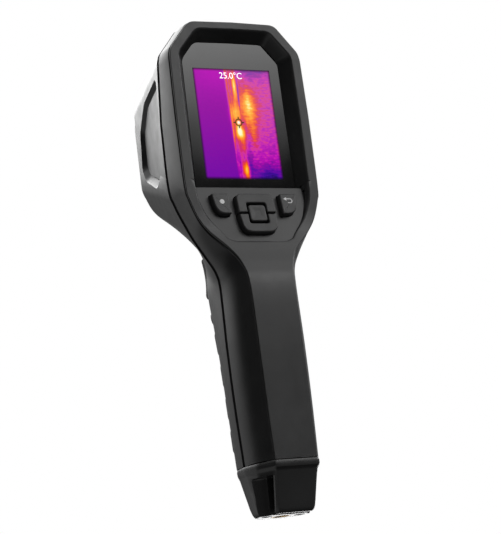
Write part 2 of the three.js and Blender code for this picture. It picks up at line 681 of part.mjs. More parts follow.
// The hollow on the right side that leads a strap into the slot.
function strapMouth() {
  const ring = (z) => {
    const flange = 9.75 - 0.06 * (SLOT.top - z);
    const near = SLOT.front + (SLOT.lean * (SLOT.top - z)) / SLOT.top;
    const far = near + 4.4;
    const inner = [[flange, -12], [flange, near], [flange + 1.2, far - 1.6], [14.4, far]];
    return [...inner, [20, far], [20, -12]].map(([x, y]) => [x, y, z]);
  };
  return stack([ring(-3), ring(SLOT.top)]);
}

function foot() {
  const { top, rear, front, lean } = SLOT;
  const through = [[rear, top], [front, top], [front + lean, 0], [front + lean, -5], [2.8, -5], [1.4, 0]];
  const slot = join(acrossX(shapeOf(through), 40), strapMouth(), mirrorX(strapMouth()));
  const socket = rod(TRIPOD.insert + 0.3, TRIPOD.depth + 0.6, [0, TRIPOD.y, TRIPOD.depth / 2], "Z");
  const { r, z, y0, y1 } = STRAP_PIN;
  const pin = rod(r + 0.3, y1 - y0 + 0.6, [0, (y0 + y1) / 2, z], "Y", 16);
  const screwHoles = SCREWS.flatMap(([x, y]) => [
    rod(1.4, 60, [x, y, 10], "Z", 16),
    rod(2.3, 20, [x, y, -6], "Z", 16),
  ]);
  return cut(stack(FOOT.map(footRing)), slot, socket, pin, ...screwHoles);
}

function strapPin() {
  const { r, z, y0, y1 } = STRAP_PIN;
  return rod(r, y1 - y0, [0, (y0 + y1) / 2, z], "Y", 16);
}

const SCREWS = [
  [-7.6, 11.2],
  [7.6, 11.2],
];

function footScrew([x, y]) {
  const head = rod(1.9, 2.4, [x, y, 5.4 - 2.6], "Z", 16);
  const shank = rod(1.1, 22, [x, y, 13.9], "Z", 12);
  const drive = box(0.7, 2.6, 1.4, x, y, 1.6);
  return cut(join(head, shank), drive, box(2.6, 0.7, 1.4, x, y, 1.6));
}

function endPlate() {
  const half = [[0, -3.4], [5.6, -3.4], [10.4, 4], [11.8, 10], [9.6, 18], [4.4, 25]];
  const left = half.slice(1).map(([x, y]) => [-x, y]).reverse();
  const ring = (z) => [...half, ...left].map(([x, y]) => [x, y, z]);
  const holes = SCREWS.map(([x, y]) => rod(1.4, 8, [x, y, 23.4], "Z", 16));
  return cut(stack([ring(21.9), ring(24.9)]), ...holes);
}

function tripodInsert() {
  const { y, r, insert, depth } = TRIPOD;
  return cut(rod(insert, depth, [0, y, depth / 2], "Z"), rod(r, depth + 2, [0, y, depth / 2 - 2], "Z"));
}

// ---------------------------------------------------------------- battery in the grip
function batteryCarrier() {
  const { r, length, y, z } = CELL_SIZE;
  const outside = rod(r + 1.6, length + 3.6, [0, y, z], "Z", 24);
  const inside = rod(r + 0.4, length + 0.8, [0, y, z], "Z", 24);
  return cut(outside, inside, box(30, 12, length + 0.8, 0, y - 9, z));
}

function batteryCell() {
  const { r, length, y, z } = CELL_SIZE;
  const button = rod(3, 3, [0, y, z + length / 2 - 1.5], "Z", 16);
  return join(rod(r, length - 1, [0, y, z - 0.5], "Z", 24), button);
}

// ---------------------------------------------------------------- the assembly
const camera = new THREE.Group();
camera.position.y = -(BACK_Y - 0.4 + FRONT_Y) / 2;

function place(name, geometry, material, position) {
  const mesh = new THREE.Mesh(geometry, material);
  mesh.name = name;
  if (position) mesh.position.set(...position);
  camera.add(mesh);
}

const frontShell = () =>
  cut(
    join(shell(frontRows(edges(0), 6), frontRows(edges(WALL), 6)), recessBoss(), mirrorX(recessBoss())),
    plate(shapeOf(whole(octagon(4.2))), NOSE_Y - 6, NOSE_Y + 1),
    flapOpening(),
    recess(),
    mirrorX(recess()),
    triggerSlot(),
    frontLayer(-0.5, PAD.depth + 0.3, 0.3),
  );

place("rear_cover", rearCover(), CASE);
place("middle_frame", middleFrame(), CASE);
place("front_shell", frontShell(), CASE);
place("rear_seal", rearSeal(), SEAL);
place("front_seal", frontSeal(), SEAL);
place("grip_pad", gripPad(), RUBBER);
place("side_panel_left", mirrorX(sidePanel()), CASE);
place("side_panel_right", sidePanel(), CASE);

place("display_window", displayWindow(), GLOSS);
place("lcd_panel", lcdPanel(), LCD_FACE);
place("lcd_bracket", lcdBracket(), STEEL);
for (const [name, shape] of Object.entries(KEY_SHAPES)) place(name, keyCap(shape), KEYCAP);
place("key_mat", keyMat(), RUBBER);
place("key_board", keyBoard(), BOARD);

const { infrared, worklight, camera: eye, laser } = OPTICS;
place("nose_ring", noseRing(), CASE);
place("nose_window", noseWindow(), GLOSS);
place("infrared_barrel", tube(infrared, 8.2, 7, 52, 72), INNER);
place("infrared_lens", lens(infrared, 6.6, 66, 69, 1), GERMANIUM);
place("infrared_sensor", box(26, 9, 26, 0, 47.1, infrared.z), STEEL);
place("worklight_lens", lens(worklight, worklight.r, 66, 69.6, 0.8), LENS);
place("worklight_emitter", box(10, 3, 10, 0, 63, worklight.z), BOARD);
place("camera_lens", lens(eye, eye.r, 66.4, 69.6, 0.4), GLOSS);
place("camera_module", box(9, 8, 9, eye.x, 61.4, eye.z), INNER);
place("laser_lens", lens(laser, laser.r, 66.4, 69.6, 0), LENS);
place("laser_module", rod(3.2, 14, [laser.x, 58.8, laser.z]), BRASS);

place("port_flap", portFlap(), RUBBER);
place("flap_pin", flapPin(), STEEL);
place("port_tray", portTray(), INNER);
place("thermocouple_socket", thermocoupleSocket(), SOCKET);
place("usb_socket", usbSocket(), STEEL);

place("trigger", trigger(), RUBBER);
place("trigger_spring", coil(2.2, 0.4, 5, 8), STEEL, [0, 21.1, 108]);
place("trigger_switch", box(10, 5, 6, 0, 22.6, 101.2), INNER);

place("main_board", box(42, 1.6, 46, 0, 29, 164), BOARD);
place("battery_carrier", batteryCarrier(), INNER);
place("battery_cell", batteryCell(), CELL);

place("foot", foot(), CASE);
place("strap_pin", strapPin(), STEEL);
place("tripod_insert", tripodInsert(), BRASS);
place("end_plate", endPlate(), INNER);
place("foot_screw_left", footScrew(SCREWS[0]), STEEL);
place("foot_screw_right", footScrew(SCREWS[1]), STEEL);

export default camera;
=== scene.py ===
"""Visual model of a hand-held thermal imaging camera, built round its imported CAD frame.

Shapes are drawn in millimetres in a drawing frame whose Y = 0 is the flat rear face of the screen
surround, and are then moved into the row frame, in metres.
"""
import math

import bmesh
import bpy
from mathutils import Matrix, Vector


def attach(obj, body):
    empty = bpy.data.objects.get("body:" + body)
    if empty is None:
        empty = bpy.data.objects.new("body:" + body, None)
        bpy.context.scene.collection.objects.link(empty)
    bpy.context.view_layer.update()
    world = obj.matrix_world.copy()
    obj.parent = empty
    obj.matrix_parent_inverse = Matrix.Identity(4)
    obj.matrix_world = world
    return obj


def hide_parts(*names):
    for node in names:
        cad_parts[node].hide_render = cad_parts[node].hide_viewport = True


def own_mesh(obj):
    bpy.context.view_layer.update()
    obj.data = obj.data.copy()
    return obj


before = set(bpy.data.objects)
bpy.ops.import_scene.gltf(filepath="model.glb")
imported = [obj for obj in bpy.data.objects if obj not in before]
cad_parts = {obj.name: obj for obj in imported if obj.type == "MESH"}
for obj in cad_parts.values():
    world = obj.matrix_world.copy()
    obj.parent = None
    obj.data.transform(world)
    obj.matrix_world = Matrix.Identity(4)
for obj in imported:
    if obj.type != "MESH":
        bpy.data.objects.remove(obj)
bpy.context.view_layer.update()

# ------------------------------------------------------------------ driving dimensions, mm
HEIGHT = 210
BACK_Y = -6.4
FRONT_Y = 74.6
NOSE_Y = 68
SEAM_Y = 11
GRIP_BOTTOM = 21
SEAM = 0.9
FRONT_SEAM = 1.8
SKIRT = 0.6
WALL = 2.2
GAP = 0.35
SHIFT_Y = (BACK_Y - 0.4 + FRONT_Y) / 2  # from the drawing frame to the row frame
TO_ROW = Matrix.Scale(0.001, 4) @ Matrix.Translation((0, -SHIFT_Y, 0))

WINDOW_Y = 6
GLASS_THICK = 1.4
LCD_W, LCD_H, LCD_Z = 36.72, 48.96, 166.1
PAD_TOP_Y, PAD_TOP_Z = 3.9, 137.3
PAD_TILT = math.radians(10.5)
KEY_PROUD = 2.9
KEY_STEM = 1.5

REAR_EDGE = [
    (0, 0, 209.6), (20.2, 0, 209.2), (30.9, 0, 196.2), (31.4, 0, 168), (31.2, 0, 137),
    (30.2, 0, 130.6), (27.2, -0.1, 122.6), (23, -0.6, 116.8), (15, -2.5, 108.6),
    (11.6, -4.6, 101.8), (10.3, -6, 93.5), (10, BACK_Y, 70), (9.9, BACK_Y, 45),
    (9.5, BACK_Y, GRIP_BOTTOM),
]
MIDDLE_EDGE = [
    (0, SEAM_Y, HEIGHT), (20.8, SEAM_Y, 209.7), (31.6, SEAM_Y, 196.2), (32, SEAM_Y + 3.4, 168),
    (31.8, SEAM_Y + 4.3, 141), (30.3, SEAM_Y + 3.4, 132), (27.2, SEAM_Y + 2, 122.8),
    (24.4, SEAM_Y + 0.7, 115.6), (20, SEAM_Y, 107.8), (16.6, SEAM_Y, 101.6), (15.6, SEAM_Y, 94),
    (16, SEAM_Y, 70), (15.8, SEAM_Y, 45), (15, SEAM_Y, GRIP_BOTTOM),
]
FRONT_EDGE = [
    (0, NOSE_Y, 202.4), (14.8, NOSE_Y, 202), (18.8, NOSE_Y, 190.6), (19.1, NOSE_Y, 172),
    (19.3, NOSE_Y, 158), (18, NOSE_Y, 151.4), (14.6, 67.2, 144.2), (9.4, 61.4, 136.4),
    (6.6, 49.8, 126.4), (6.2, 39, 115.6), (6, 36.2, 101), (5, 31.2, 70),
    (5, 29.3, 45), (4.8, 28.6, GRIP_BOTTOM),
]
CORNER = 0.14
CHAMFER_END = 0.2  # share of the side that is a straight chamfer
ROUNDING = 3.2  # how quickly the rest of the side turns to run along Y
CHAMFER_RISE = 1 / (CHAMFER_END + (1 - CHAMFER_END) / ROUNDING)


def clamp(x, lo=0.0, hi=1.0):
    return max(lo, min(hi, x))


def smoothstep(x, lo, hi):
    t = clamp((x - lo) / (hi - lo))
    return t * t * (3 - 2 * t)


def mix(a, b, t):
    return a + (b - a) * t


# ------------------------------------------------------------------ curves and outlines
def bezier(a, b, c, t):
    return a * (1 - t) ** 2 + b * (2 * t * (1 - t)) + c * t**2


def arc(a, b, c, n=8):
    """Points on the curve from a to c that b pulls on."""
    a, b, c = Vector(a), Vector(b), Vector(c)
    return [bezier(a, b, c, k / n) for k in range(n + 1)]


def through(points, per):
    """A smooth curve through the points, with per steps between neighbours."""
    p = [2 * points[0] - points[1], *points, 2 * points[-1] - points[-2]]
    out = []
    for k in range(1, len(p) - 2):
        a, b, c, d = p[k - 1 : k + 3]
        m0, m1 = (c - a) / 2, (d - b) / 2
        for s in range(per):
            t = s / per
            t2, t3 = t * t, t**3
            start = b * (2 * t3 - 3 * t2 + 1) + m0 * (t3 - 2 * t2 + t)
            out.append(start + c * (3 * t2 - 2 * t3) + m1 * (t3 - t2))
    out.append(points[-1].copy())
    return out


def edge_points(stations, per=6):
    """Points along one of the body's long edges, and each point's station number."""
    p = [Vector(s) for s in stations]
    out, at = [], []
    start = p[0]
    for i in (1, 2):
        before, after = p[i].lerp(p[i - 1], CORNER), p[i].lerp(p[i + 1], CORNER)
        out += [start.lerp(before, k / 4) for k in range(4)]
        out += [bezier(before, p[i], after, k / 7) for k in range(7)]
        start = after
    out += [start.lerp(p[3], k / 4) for k in range(4)]
    at = [2.0] * len(out)
    lower = through(p[3:], per)
    return out + lower, at + [3 + k / per for k in range(len(lower))]


def inset_points(points, t, dy=0.0):
    """The points moved inwards by t in X and Z, and by dy along Y."""
    out = []
    last = len(points) - 1
    for i, p in enumerate(points):
        if i == 0:
            out.append(Vector((0, p.y + dy, p.z - t)))
            continue
        a, b = points[i - 1], points[min(last, i + 1)]
        along = Vector((b.x - a.x, b.z - a.z)).normalized()
        z = GRIP_BOTTOM if i == last else p.z - along.x * t
        out.append(Vector((p.x + along.y * t, p.y + dy, z)))
    return out


def edges(t, per=6):
    rear, _ = edge_points(REAR_EDGE, per)
    middle, _ = edge_points(MIDDLE_EDGE, per)
    front, at = edge_points(FRONT_EDGE, per)
    return inset_points(rear, t), inset_points(middle, t), inset_points(front, t, -t), at


def side_curve(v):
    """Share of the widening reached at share v of the way from the rear to the middle edge."""
    if v < CHAMFER_END:
        return CHAMFER_RISE * v
    v = min(v, 1.0)
    return 1 - CHAMFER_RISE * (1 - v) * ((1 - v) / (1 - CHAMFER_END)) ** (ROUNDING - 1) / ROUNDING


def side_row(e, y_of):
    rear, middle = e[0], e[1]
    row = []
    for r, m in zip(rear, middle):
        v = (y_of(r, m) - r.y) / (m.y - r.y)
        f = side_curve(v)
        row.append(Vector((mix(r.x, m.x, f), mix(r.y, m.y, v), mix(r.z, m.z, f))))
    return row


def round_open(points, cut, steps=6):
    """An open polyline with its inner corners rounded, starting cut before each corner."""
    p = [Vector(q) for q in points]
    out = [p[0]]
    for i in range(1, len(p) - 1):
        a, b = p[i - 1] - p[i], p[i + 1] - p[i]
        d = min(cut, a.length * 0.45, b.length * 0.45)
        s, e = p[i] + a.normalized() * d, p[i] + b.normalized() * d
        out += arc(s, p[i], e, steps)
    return out + [p[-1]]


def round_closed(points, cut, steps=6):
    p = [Vector(q) for q in points]
    out = []
    for i, q in enumerate(p):
        a, b = p[i - 1] - q, p[(i + 1) % len(p)] - q
        d = min(cut, a.length * 0.45, b.length * 0.45)
        out += arc(q + a.normalized() * d, q, q + b.normalized() * d, steps)
    return out


def both(half):
    """A closed outline in X and Z from its right half, listed from top to bottom."""
    return [*half, *[Vector((-p[0], p[1])) for p in reversed(half) if p[0] > 1e-6]]


def area(outline):
    after = [*outline[1:], outline[0]]
    return sum(p[0] * q[1] - q[0] * p[1] for p, q in zip(outline, after)) / 2


def normals(outline):
    """Outward normals with the mitre length, one for each point of a closed outline."""
    turn = 1 if area(outline) > 0 else -1
    n = len(outline)
    out = []
    for i in range(n):
        a, q, b = outline[i - 1], outline[i], outline[(i + 1) % n]
        before = Vector((q[1] - a[1], a[0] - q[0])).normalized()
        after = Vector((b[1] - q[1], q[0] - b[0])).normalized()
        s = before + after
        out.append(s * (turn * 2 / max(s.length_squared, 0.5)))
    return out


def grow(outline, t):
    return [q + n * t for q, n in zip(outline, normals(outline))]


# ------------------------------------------------------------------ solids
def linked(name, data):
    obj = bpy.data.objects.new(name, data)
    bpy.context.scene.collection.objects.link(obj)
    return obj


def evaluated_mesh(obj):
    shown = obj.evaluated_get(bpy.context.evaluated_depsgraph_get())
    return bpy.data.meshes.new_from_object(shown)


def solid(points, faces):
    """A closed mesh object in the drawing frame."""
    mesh = bpy.data.meshes.new("solid")
    mesh.from_pydata([tuple(p) for p in points], [], faces)
    bm = bmesh.new()
    bm.from_mesh(mesh)
    bmesh.ops.remove_doubles(bm, verts=bm.verts, dist=1e-4)
    bmesh.ops.dissolve_degenerate(bm, edges=bm.edges, dist=1e-5)
    bmesh.ops.recalc_face_normals(bm, faces=bm.faces)
    bm.to_mesh(mesh)
    bm.free()
    return linked("solid", mesh)


def boolean(base, tool, operation):
    modifier = base.modifiers.new("boolean", "BOOLEAN")
    modifier.operation = operation
    modifier.solver = "MANIFOLD"
    modifier.object = tool
    made = evaluated_mesh(base)
    base.modifiers.clear()
    base.data = made
    bpy.data.objects.remove(tool)
    return base


def cut(base, *tools):
    for tool in tools:
        boolean(base, tool, "DIFFERENCE")
    return base


def join(base, *others):
    for other in others:
        boolean(base, other, "UNION")
    return base


def common(base, other):
    return boolean(base, other, "INTERSECT")


def rings(loops, closed=False):
    """A solid through loops of points; closed joins the last loop to the first."""
    n, count = len(loops[0]), len(loops)
    faces = []
    for k in range(count if closed else count - 1):
        a, b = k * n, (k + 1) % count * n
        faces += [(a + i, a + (i + 1) % n, b + (i + 1) % n, b + i) for i in range(n)]
    if not closed:
        faces += [tuple(range(n)), tuple(reversed(range((count - 1) * n, count * n)))]
    return solid([p for loop in loops for p in loop], faces)


def flat(outline, y):
    return [Vector((q[0], y, q[1])) for q in outline]


def flat_z(outline, z):
    return [Vector((q[0], q[1], z)) for q in outline]


def flat_x(outline, x):
    return [Vector((x, q[0], q[1])) for q in outline]


def rounding(radius, steps):
    """How far an edge rounded to a radius is inset and set back, from its side to its face."""
    angles = [math.pi / 2 * k / steps for k in range(steps + 1)]
    return [(radius * (1 - math.cos(a)), radius * (1 - math.sin(a))) for a in angles]


def plate(outline, y0, y1):
    return rings([flat(outline, y0), flat(outline, y1)])


def pillow(outline, back, front, radius, steps):
    """A plate from Y = back to the smaller Y = front, with its front edge rounded."""
    edge = [flat(grow(outline, -inset), front + depth) for inset, depth in rounding(radius, steps)]
    return rings([flat(outline, back), *edge])


def across_x(outline, width, bevel=0.0, steps=3):
    """A solid along X from an outline in Y and Z, with both ends rounded."""
    end = rounding(bevel, steps) if bevel else [(0, 0)]
    half = [(width / 2 - depth, grow(outline, -inset) if bevel else outline) for inset, depth in end]
    return rings([flat_x(o, -x) for x, o in reversed(half)] + [flat_x(o, x) for x, o in half])


CORNERS = ((-1, -1), (1, -1), (1, 1), (-1, 1))


def rect(w, h, x=0.0, z=0.0):
    return [Vector((x + a * w / 2, z + b * h / 2)) for a, b in CORNERS]


def box(w, d, h, x=0.0, y=0.0, z=0.0):
    return plate(rect(w, h, x, z), y - d / 2, y + d / 2)


def circle(r, x=0.0, z=0.0, sides=40):
    angles = [2 * math.pi * k / sides for k in range(sides)]
    return [Vector((x + r * math.cos(a), z + r * math.sin(a))) for a in angles]


def turned(profile, at, axis="Y", sides=48):
    """A solid of revolution from (radius, position) pairs along an axis through a point."""
    loops = []
    for r, t in profile:
        loop = []
        for q in circle(max(r, 1e-3), sides=sides):
            v = {"Y": (q[0], t, q[1]), "Z": (q[0], q[1], t), "X": (t, q[0], q[1])}[axis]
            loop.append(Vector(v) + Vector(at))
        loops.append(loop)
    return rings(loops)


def rod(r, length, at, axis="Y", sides=48, bevel=0.0):
    h = length / 2
    end = [(r, h)]
    if bevel:
        end = [(r, h - bevel), (r - bevel * 0.3, h - bevel * 0.3), (r - bevel, h)]
    return turned([*[(x, -t) for x, t in reversed(end)], *end], at, axis, sides)


def rounded_rect(w, h, r, x=0.0, z=0.0, steps=6):
    a, b = w / 2 - r, h / 2 - r
    out = []
    for cx, cz, start in ((a, -b, -90), (a, b, 0), (-a, b, 90), (-a, -b, 180)):
        for k in range(steps + 1):
            t = math.radians(start + 90 * k / steps)
            out.append(Vector((x + cx + r * math.cos(t), z + cz + r * math.sin(t))))
    return out


def move(obj, matrix):
    obj.data.transform(matrix)
    if matrix.determinant() < 0:
        obj.data.flip_normals()
    return obj


def mirror_x(obj):
    return move(obj, Matrix.Scale(-1, 4, (1, 0, 0)))


def skin(outer, inner, has_start):
    """One thick closed skin from rows of outer and inner points."""
    n = len(outer[0])
    points = [p for row in outer for p in row] + [p for row in inner for p in row]
    shift = len(outer) * n
    faces = []
    for i in range(len(outer) - 1):
        for j in range(n - 1):
            a = i * n + j
            faces.append((a, a + 1, a + n + 1, a + n))
            faces.append((a + shift, a + n + shift, a + n + 1 + shift, a + 1 + shift))
    rows = len(outer)
    for j in range(n - 1):
        faces.append((j, j + shift, j + 1 + shift, j + 1))
        a = (rows - 1) * n + j
        faces.append((a, a + 1, a + 1 + shift, a + shift))
    for i in range(rows - 1):
        for j in [n - 1] + ([0] if has_start else []):
            a = i * n + j
            faces.append((a, a + n, a + n + shift, a + shift))
    return solid(points, faces)


def mirrored(row):
    return [Vector((-p.x, p.y, p.z)) for p in row]


def shell(outer, inner):
    def over(rows):
        return [*rows, *[mirrored(r) for r in reversed(rows)]]

    return skin(over(outer), over(inner), False)


def band(outer, inner):
    def over(rows):
        return [[*reversed(mirrored(r[1:])), *r] for r in rows]

    return skin(over(outer), over(inner), True)


# ------------------------------------------------------------------ materials
class Graph:
    """Short forms for making shader nodes."""

    def __init__(self, tree):
        self.tree = tree
        self.bsdf = tree.nodes.get("Principled BSDF")

    def node(self, kind, **values):
        made = self.tree.nodes.new(kind)
        for key, value in values.items():
            setattr(made, key, value)
        return made

    def put(self, socket, value):
        if isinstance(value, bpy.types.NodeSocket):
            self.tree.links.new(value, socket)
        elif value is not None:
            socket.default_value = value

    def set(self, name, value):
        self.put(self.bsdf.inputs[name], value)

    def math(self, operation, a, b=None, c=None):
        made = self.node("ShaderNodeMath", operation=operation)
        for socket, value in zip(made.inputs, (a, b, c)):
            self.put(socket, value)
        return made.outputs[0]

    def add(self, a, b):
        return self.math("ADD", a, b)

    def sub(self, a, b):
        return self.math("SUBTRACT", a, b)

    def mul(self, a, b):
        return self.math("MULTIPLY", a, b)

    def ramp(self, value, stops, smooth=False):
        made = self.node("ShaderNodeValToRGB")
        ramp = made.color_ramp
        ramp.interpolation = "EASE" if smooth else "LINEAR"
        while len(ramp.elements) < len(stops):
            ramp.elements.new(0.5)
        for element, (at, colour) in zip(ramp.elements, stops):
            element.position = at
            element.color = (*colour, 1) if len(colour) == 3 else colour
        self.put(made.inputs[0], value)
        return made.outputs[0]

    def map(self, value, a, b, c, d, smooth=False):
        made = self.node("ShaderNodeMapRange")
        made.interpolation_type = "SMOOTHSTEP" if smooth else "LINEAR"
        for socket, x in zip(made.inputs, (value, a, b, c, d)):
            self.put(socket, x)
        return made.outputs[0]

    def noise(self, coords, scale, detail=3.0, rough=0.55):
        made = self.node("ShaderNodeTexNoise")
        self.put(made.inputs["Vector"], coords)
        made.inputs["Scale"].default_value = scale
        made.inputs["Detail"].default_value = detail
        made.inputs["Roughness"].default_value = rough
        return made.outputs[0]

    def voronoi(self, coords, scale):
        made = self.node("ShaderNodeTexVoronoi")
        self.put(made.inputs["Vector"], coords)
        made.inputs["Scale"].default_value = scale
        return made.outputs["Distance"]

    def mixed(self, factor, a, b, blend="MIX"):
        made = self.node("ShaderNodeMix", data_type="RGBA", blend_type=blend)
        self.put(made.inputs[0], factor)
        self.put(made.inputs[6], a if isinstance(a, bpy.types.NodeSocket) else (*a, 1))
        self.put(made.inputs[7], b if isinstance(b, bpy.types.NodeSocket) else (*b, 1))
        return made.outputs[2]

    def bump(self, height, strength, distance):
        made = self.node("ShaderNodeBump")
        made.inputs["Strength"].default_value = strength
        made.inputs["Distance"].default_value = distance
        self.put(made.inputs["Height"], height)
        return made.outputs[0]

    def coords(self, stretch=None):
        out = self.node("ShaderNodeTexCoord").outputs["Object"]
        if stretch:
            made = self.node("ShaderNodeMapping")
            self.put(made.inputs[0], out)
            made.inputs["Scale"].default_value = stretch
            out = made.outputs[0]
        return out


def blank(name):
    material = bpy.data.materials.new(name)
    material.use_nodes = True
    return material, Graph(material.node_tree)


def moulded(name, dark, light, rough, grain, depth, strength, wear=0.0, spec=0.5):
    """Moulded plastic or rubber: spark-eroded grain, faint mottling and paler worn edges."""
    material, g = blank(name)
    at = g.coords()
    cloud = g.noise(at, 45, 4)
    fine = g.noise(at, grain, 5, 0.7)
    pits = g.voronoi(at, grain * 0.8)
    colour = g.ramp(g.add(g.mul(cloud, 0.75), g.mul(fine, 0.25)), [(0.32, dark), (0.68, light)])
    if wear:
        worn = g.map(g.node("ShaderNodeNewGeometry").outputs["Pointiness"], 0.52, 0.6, 0.0, wear, True)
        worn = g.mul(worn, g.map(g.noise(at, 260, 4), 0.35, 0.6, 0.25, 1.0))
        colour = g.mixed(worn, colour, [min(1, c * 3.2) for c in light])
    g.set("Base Color", colour)
    smear = g.noise(at, 160, 5, 0.6)
    g.set("Roughness", g.map(smear, 0.3, 0.7, *rough))
    g.set("Specular IOR Level", spec)
    height = g.add(g.mul(fine, 0.6), g.mul(pits, 0.4))
    g.set("Normal", g.bump(height, strength, depth))
    return material


def metal(name, dark, light, rough, scratch=(2200, 60, 60)):
    material, g = blank(name)
    lines = g.noise(g.coords(scratch), 1, 3, 0.6)
    cloud = g.noise(g.coords(), 200, 3)
    g.set("Base Color", g.ramp(g.mul(g.add(lines, cloud), 0.5), [(0.35, dark), (0.65, light)]))
    g.set("Roughness", g.map(lines, 0.3, 0.7, *rough))
    g.set("Metallic", 1.0)
    g.set("Normal", g.bump(lines, 0.25, 0.00002))
    return material


def glossy(name, dark, light, rough):
    material, g = blank(name)
    at = g.coords()
    g.set("Base Color", g.ramp(g.noise(at, 30, 3), [(0.35, dark), (0.65, light)]))
    g.set("Roughness", g.map(g.noise(at, 70, 6, 0.7), 0.35, 0.75, *rough))
    g.set("Specular IOR Level", 0.42)
    g.set("Normal", g.bump(g.noise(at, 12, 2), 0.03, 0.0002))
    return material


def clear(name, tint):
    material, g = blank(name)
    at = g.coords()
    g.set("Base Color", g.ramp(g.noise(at, 90, 3), [(0.3, [c * 0.86 for c in tint]), (0.7, tint)]))
    g.set("Roughness", g.map(g.noise(at, 300, 4), 0.3, 0.7, 0.03, 0.1))
    g.set("Transmission Weight", 0.55)
    return material


def board(name):
    """Solder resist over copper tracks."""
    material, g = blank(name)
    at = g.coords()
    tracks = g.map(g.voronoi(g.coords((1, 0.2, 1)), 420), 0.25, 0.32, 1.0, 0.0)
    colour = g.mixed(tracks, (0.005, 0.05, 0.02), (0.02, 0.16, 0.06))
    g.set("Base Color", g.mixed(g.map(g.noise(at, 300), 0.3, 0.7, 0, 0.3), colour, (0.01, 0.1, 0.05)))
    g.set("Roughness", g.map(tracks, 0, 1, 0.42, 0.3))
    g.set("Normal", g.bump(tracks, 0.4, 0.00005))
    return material


IRONBOW = [
    (0.0, (0.0, 0.0, 0.01)), (0.14, (0.045, 0.0, 0.305)), (0.25, (0.15, 0.0, 0.376)),
    (0.33, (0.29, 0.0, 0.35)), (0.40, (0.50, 0.0, 0.47)), (0.46, (0.66, 0.03, 0.33)),
    (0.52, (0.62, 0.012, 0.16)), (0.60, (0.807, 0.061, 0.021)), (0.70, (1.0, 0.223, 0.0)),
    (0.82, (1.0, 0.456, 0.013)), (0.92, (1.0, 0.791, 0.156)), (1.0, (1.0, 1.0, 0.645)),
]
# Warm and cool spots of the picture: place across and up (0 to 1), widths, and strength.
HEAT = [
    (0.42, 0.86, 0.012, 0.22, 0.14), (0.455, 0.84, 0.01, 0.26, 0.16), (0.51, 0.84, 0.024, 0.13, 0.42),
    (0.485, 0.59, 0.06, 0.085, 0.36), (0.665, 0.66, 0.105, 0.145, 0.4), (0.66, 0.72, 0.03, 0.1, 0.12),
    (0.518, 0.415, 0.055, 0.06, 0.62), (0.505, 0.47, 0.03, 0.05, 0.25), (0.53, 0.29, 0.055, 0.07, 0.2),
    (0.535, 0.08, 0.04, 0.08, 0.52), (0.43, 0.45, 0.012, 0.24, 0.22), (0.69, 0.42, 0.05, 0.15, 0.2),
    (0.8, 0.46, 0.1, 0.15, 0.04), (0.54, 0.72, 0.07, 0.2, 0.05), (0.78, 1.02, 0.26, 0.11, -0.22),
    (0.84, 0.02, 0.2, 0.09, -0.26), (0.548, 0.76, 0.01, 0.12, -0.4), (0.62, 0.5, 0.02, 0.05, 0.12),
    (0.6, 0.12, 0.035, 0.14, -0.12), (0.36, 0.98, 0.3, 0.16, 0.03),
]


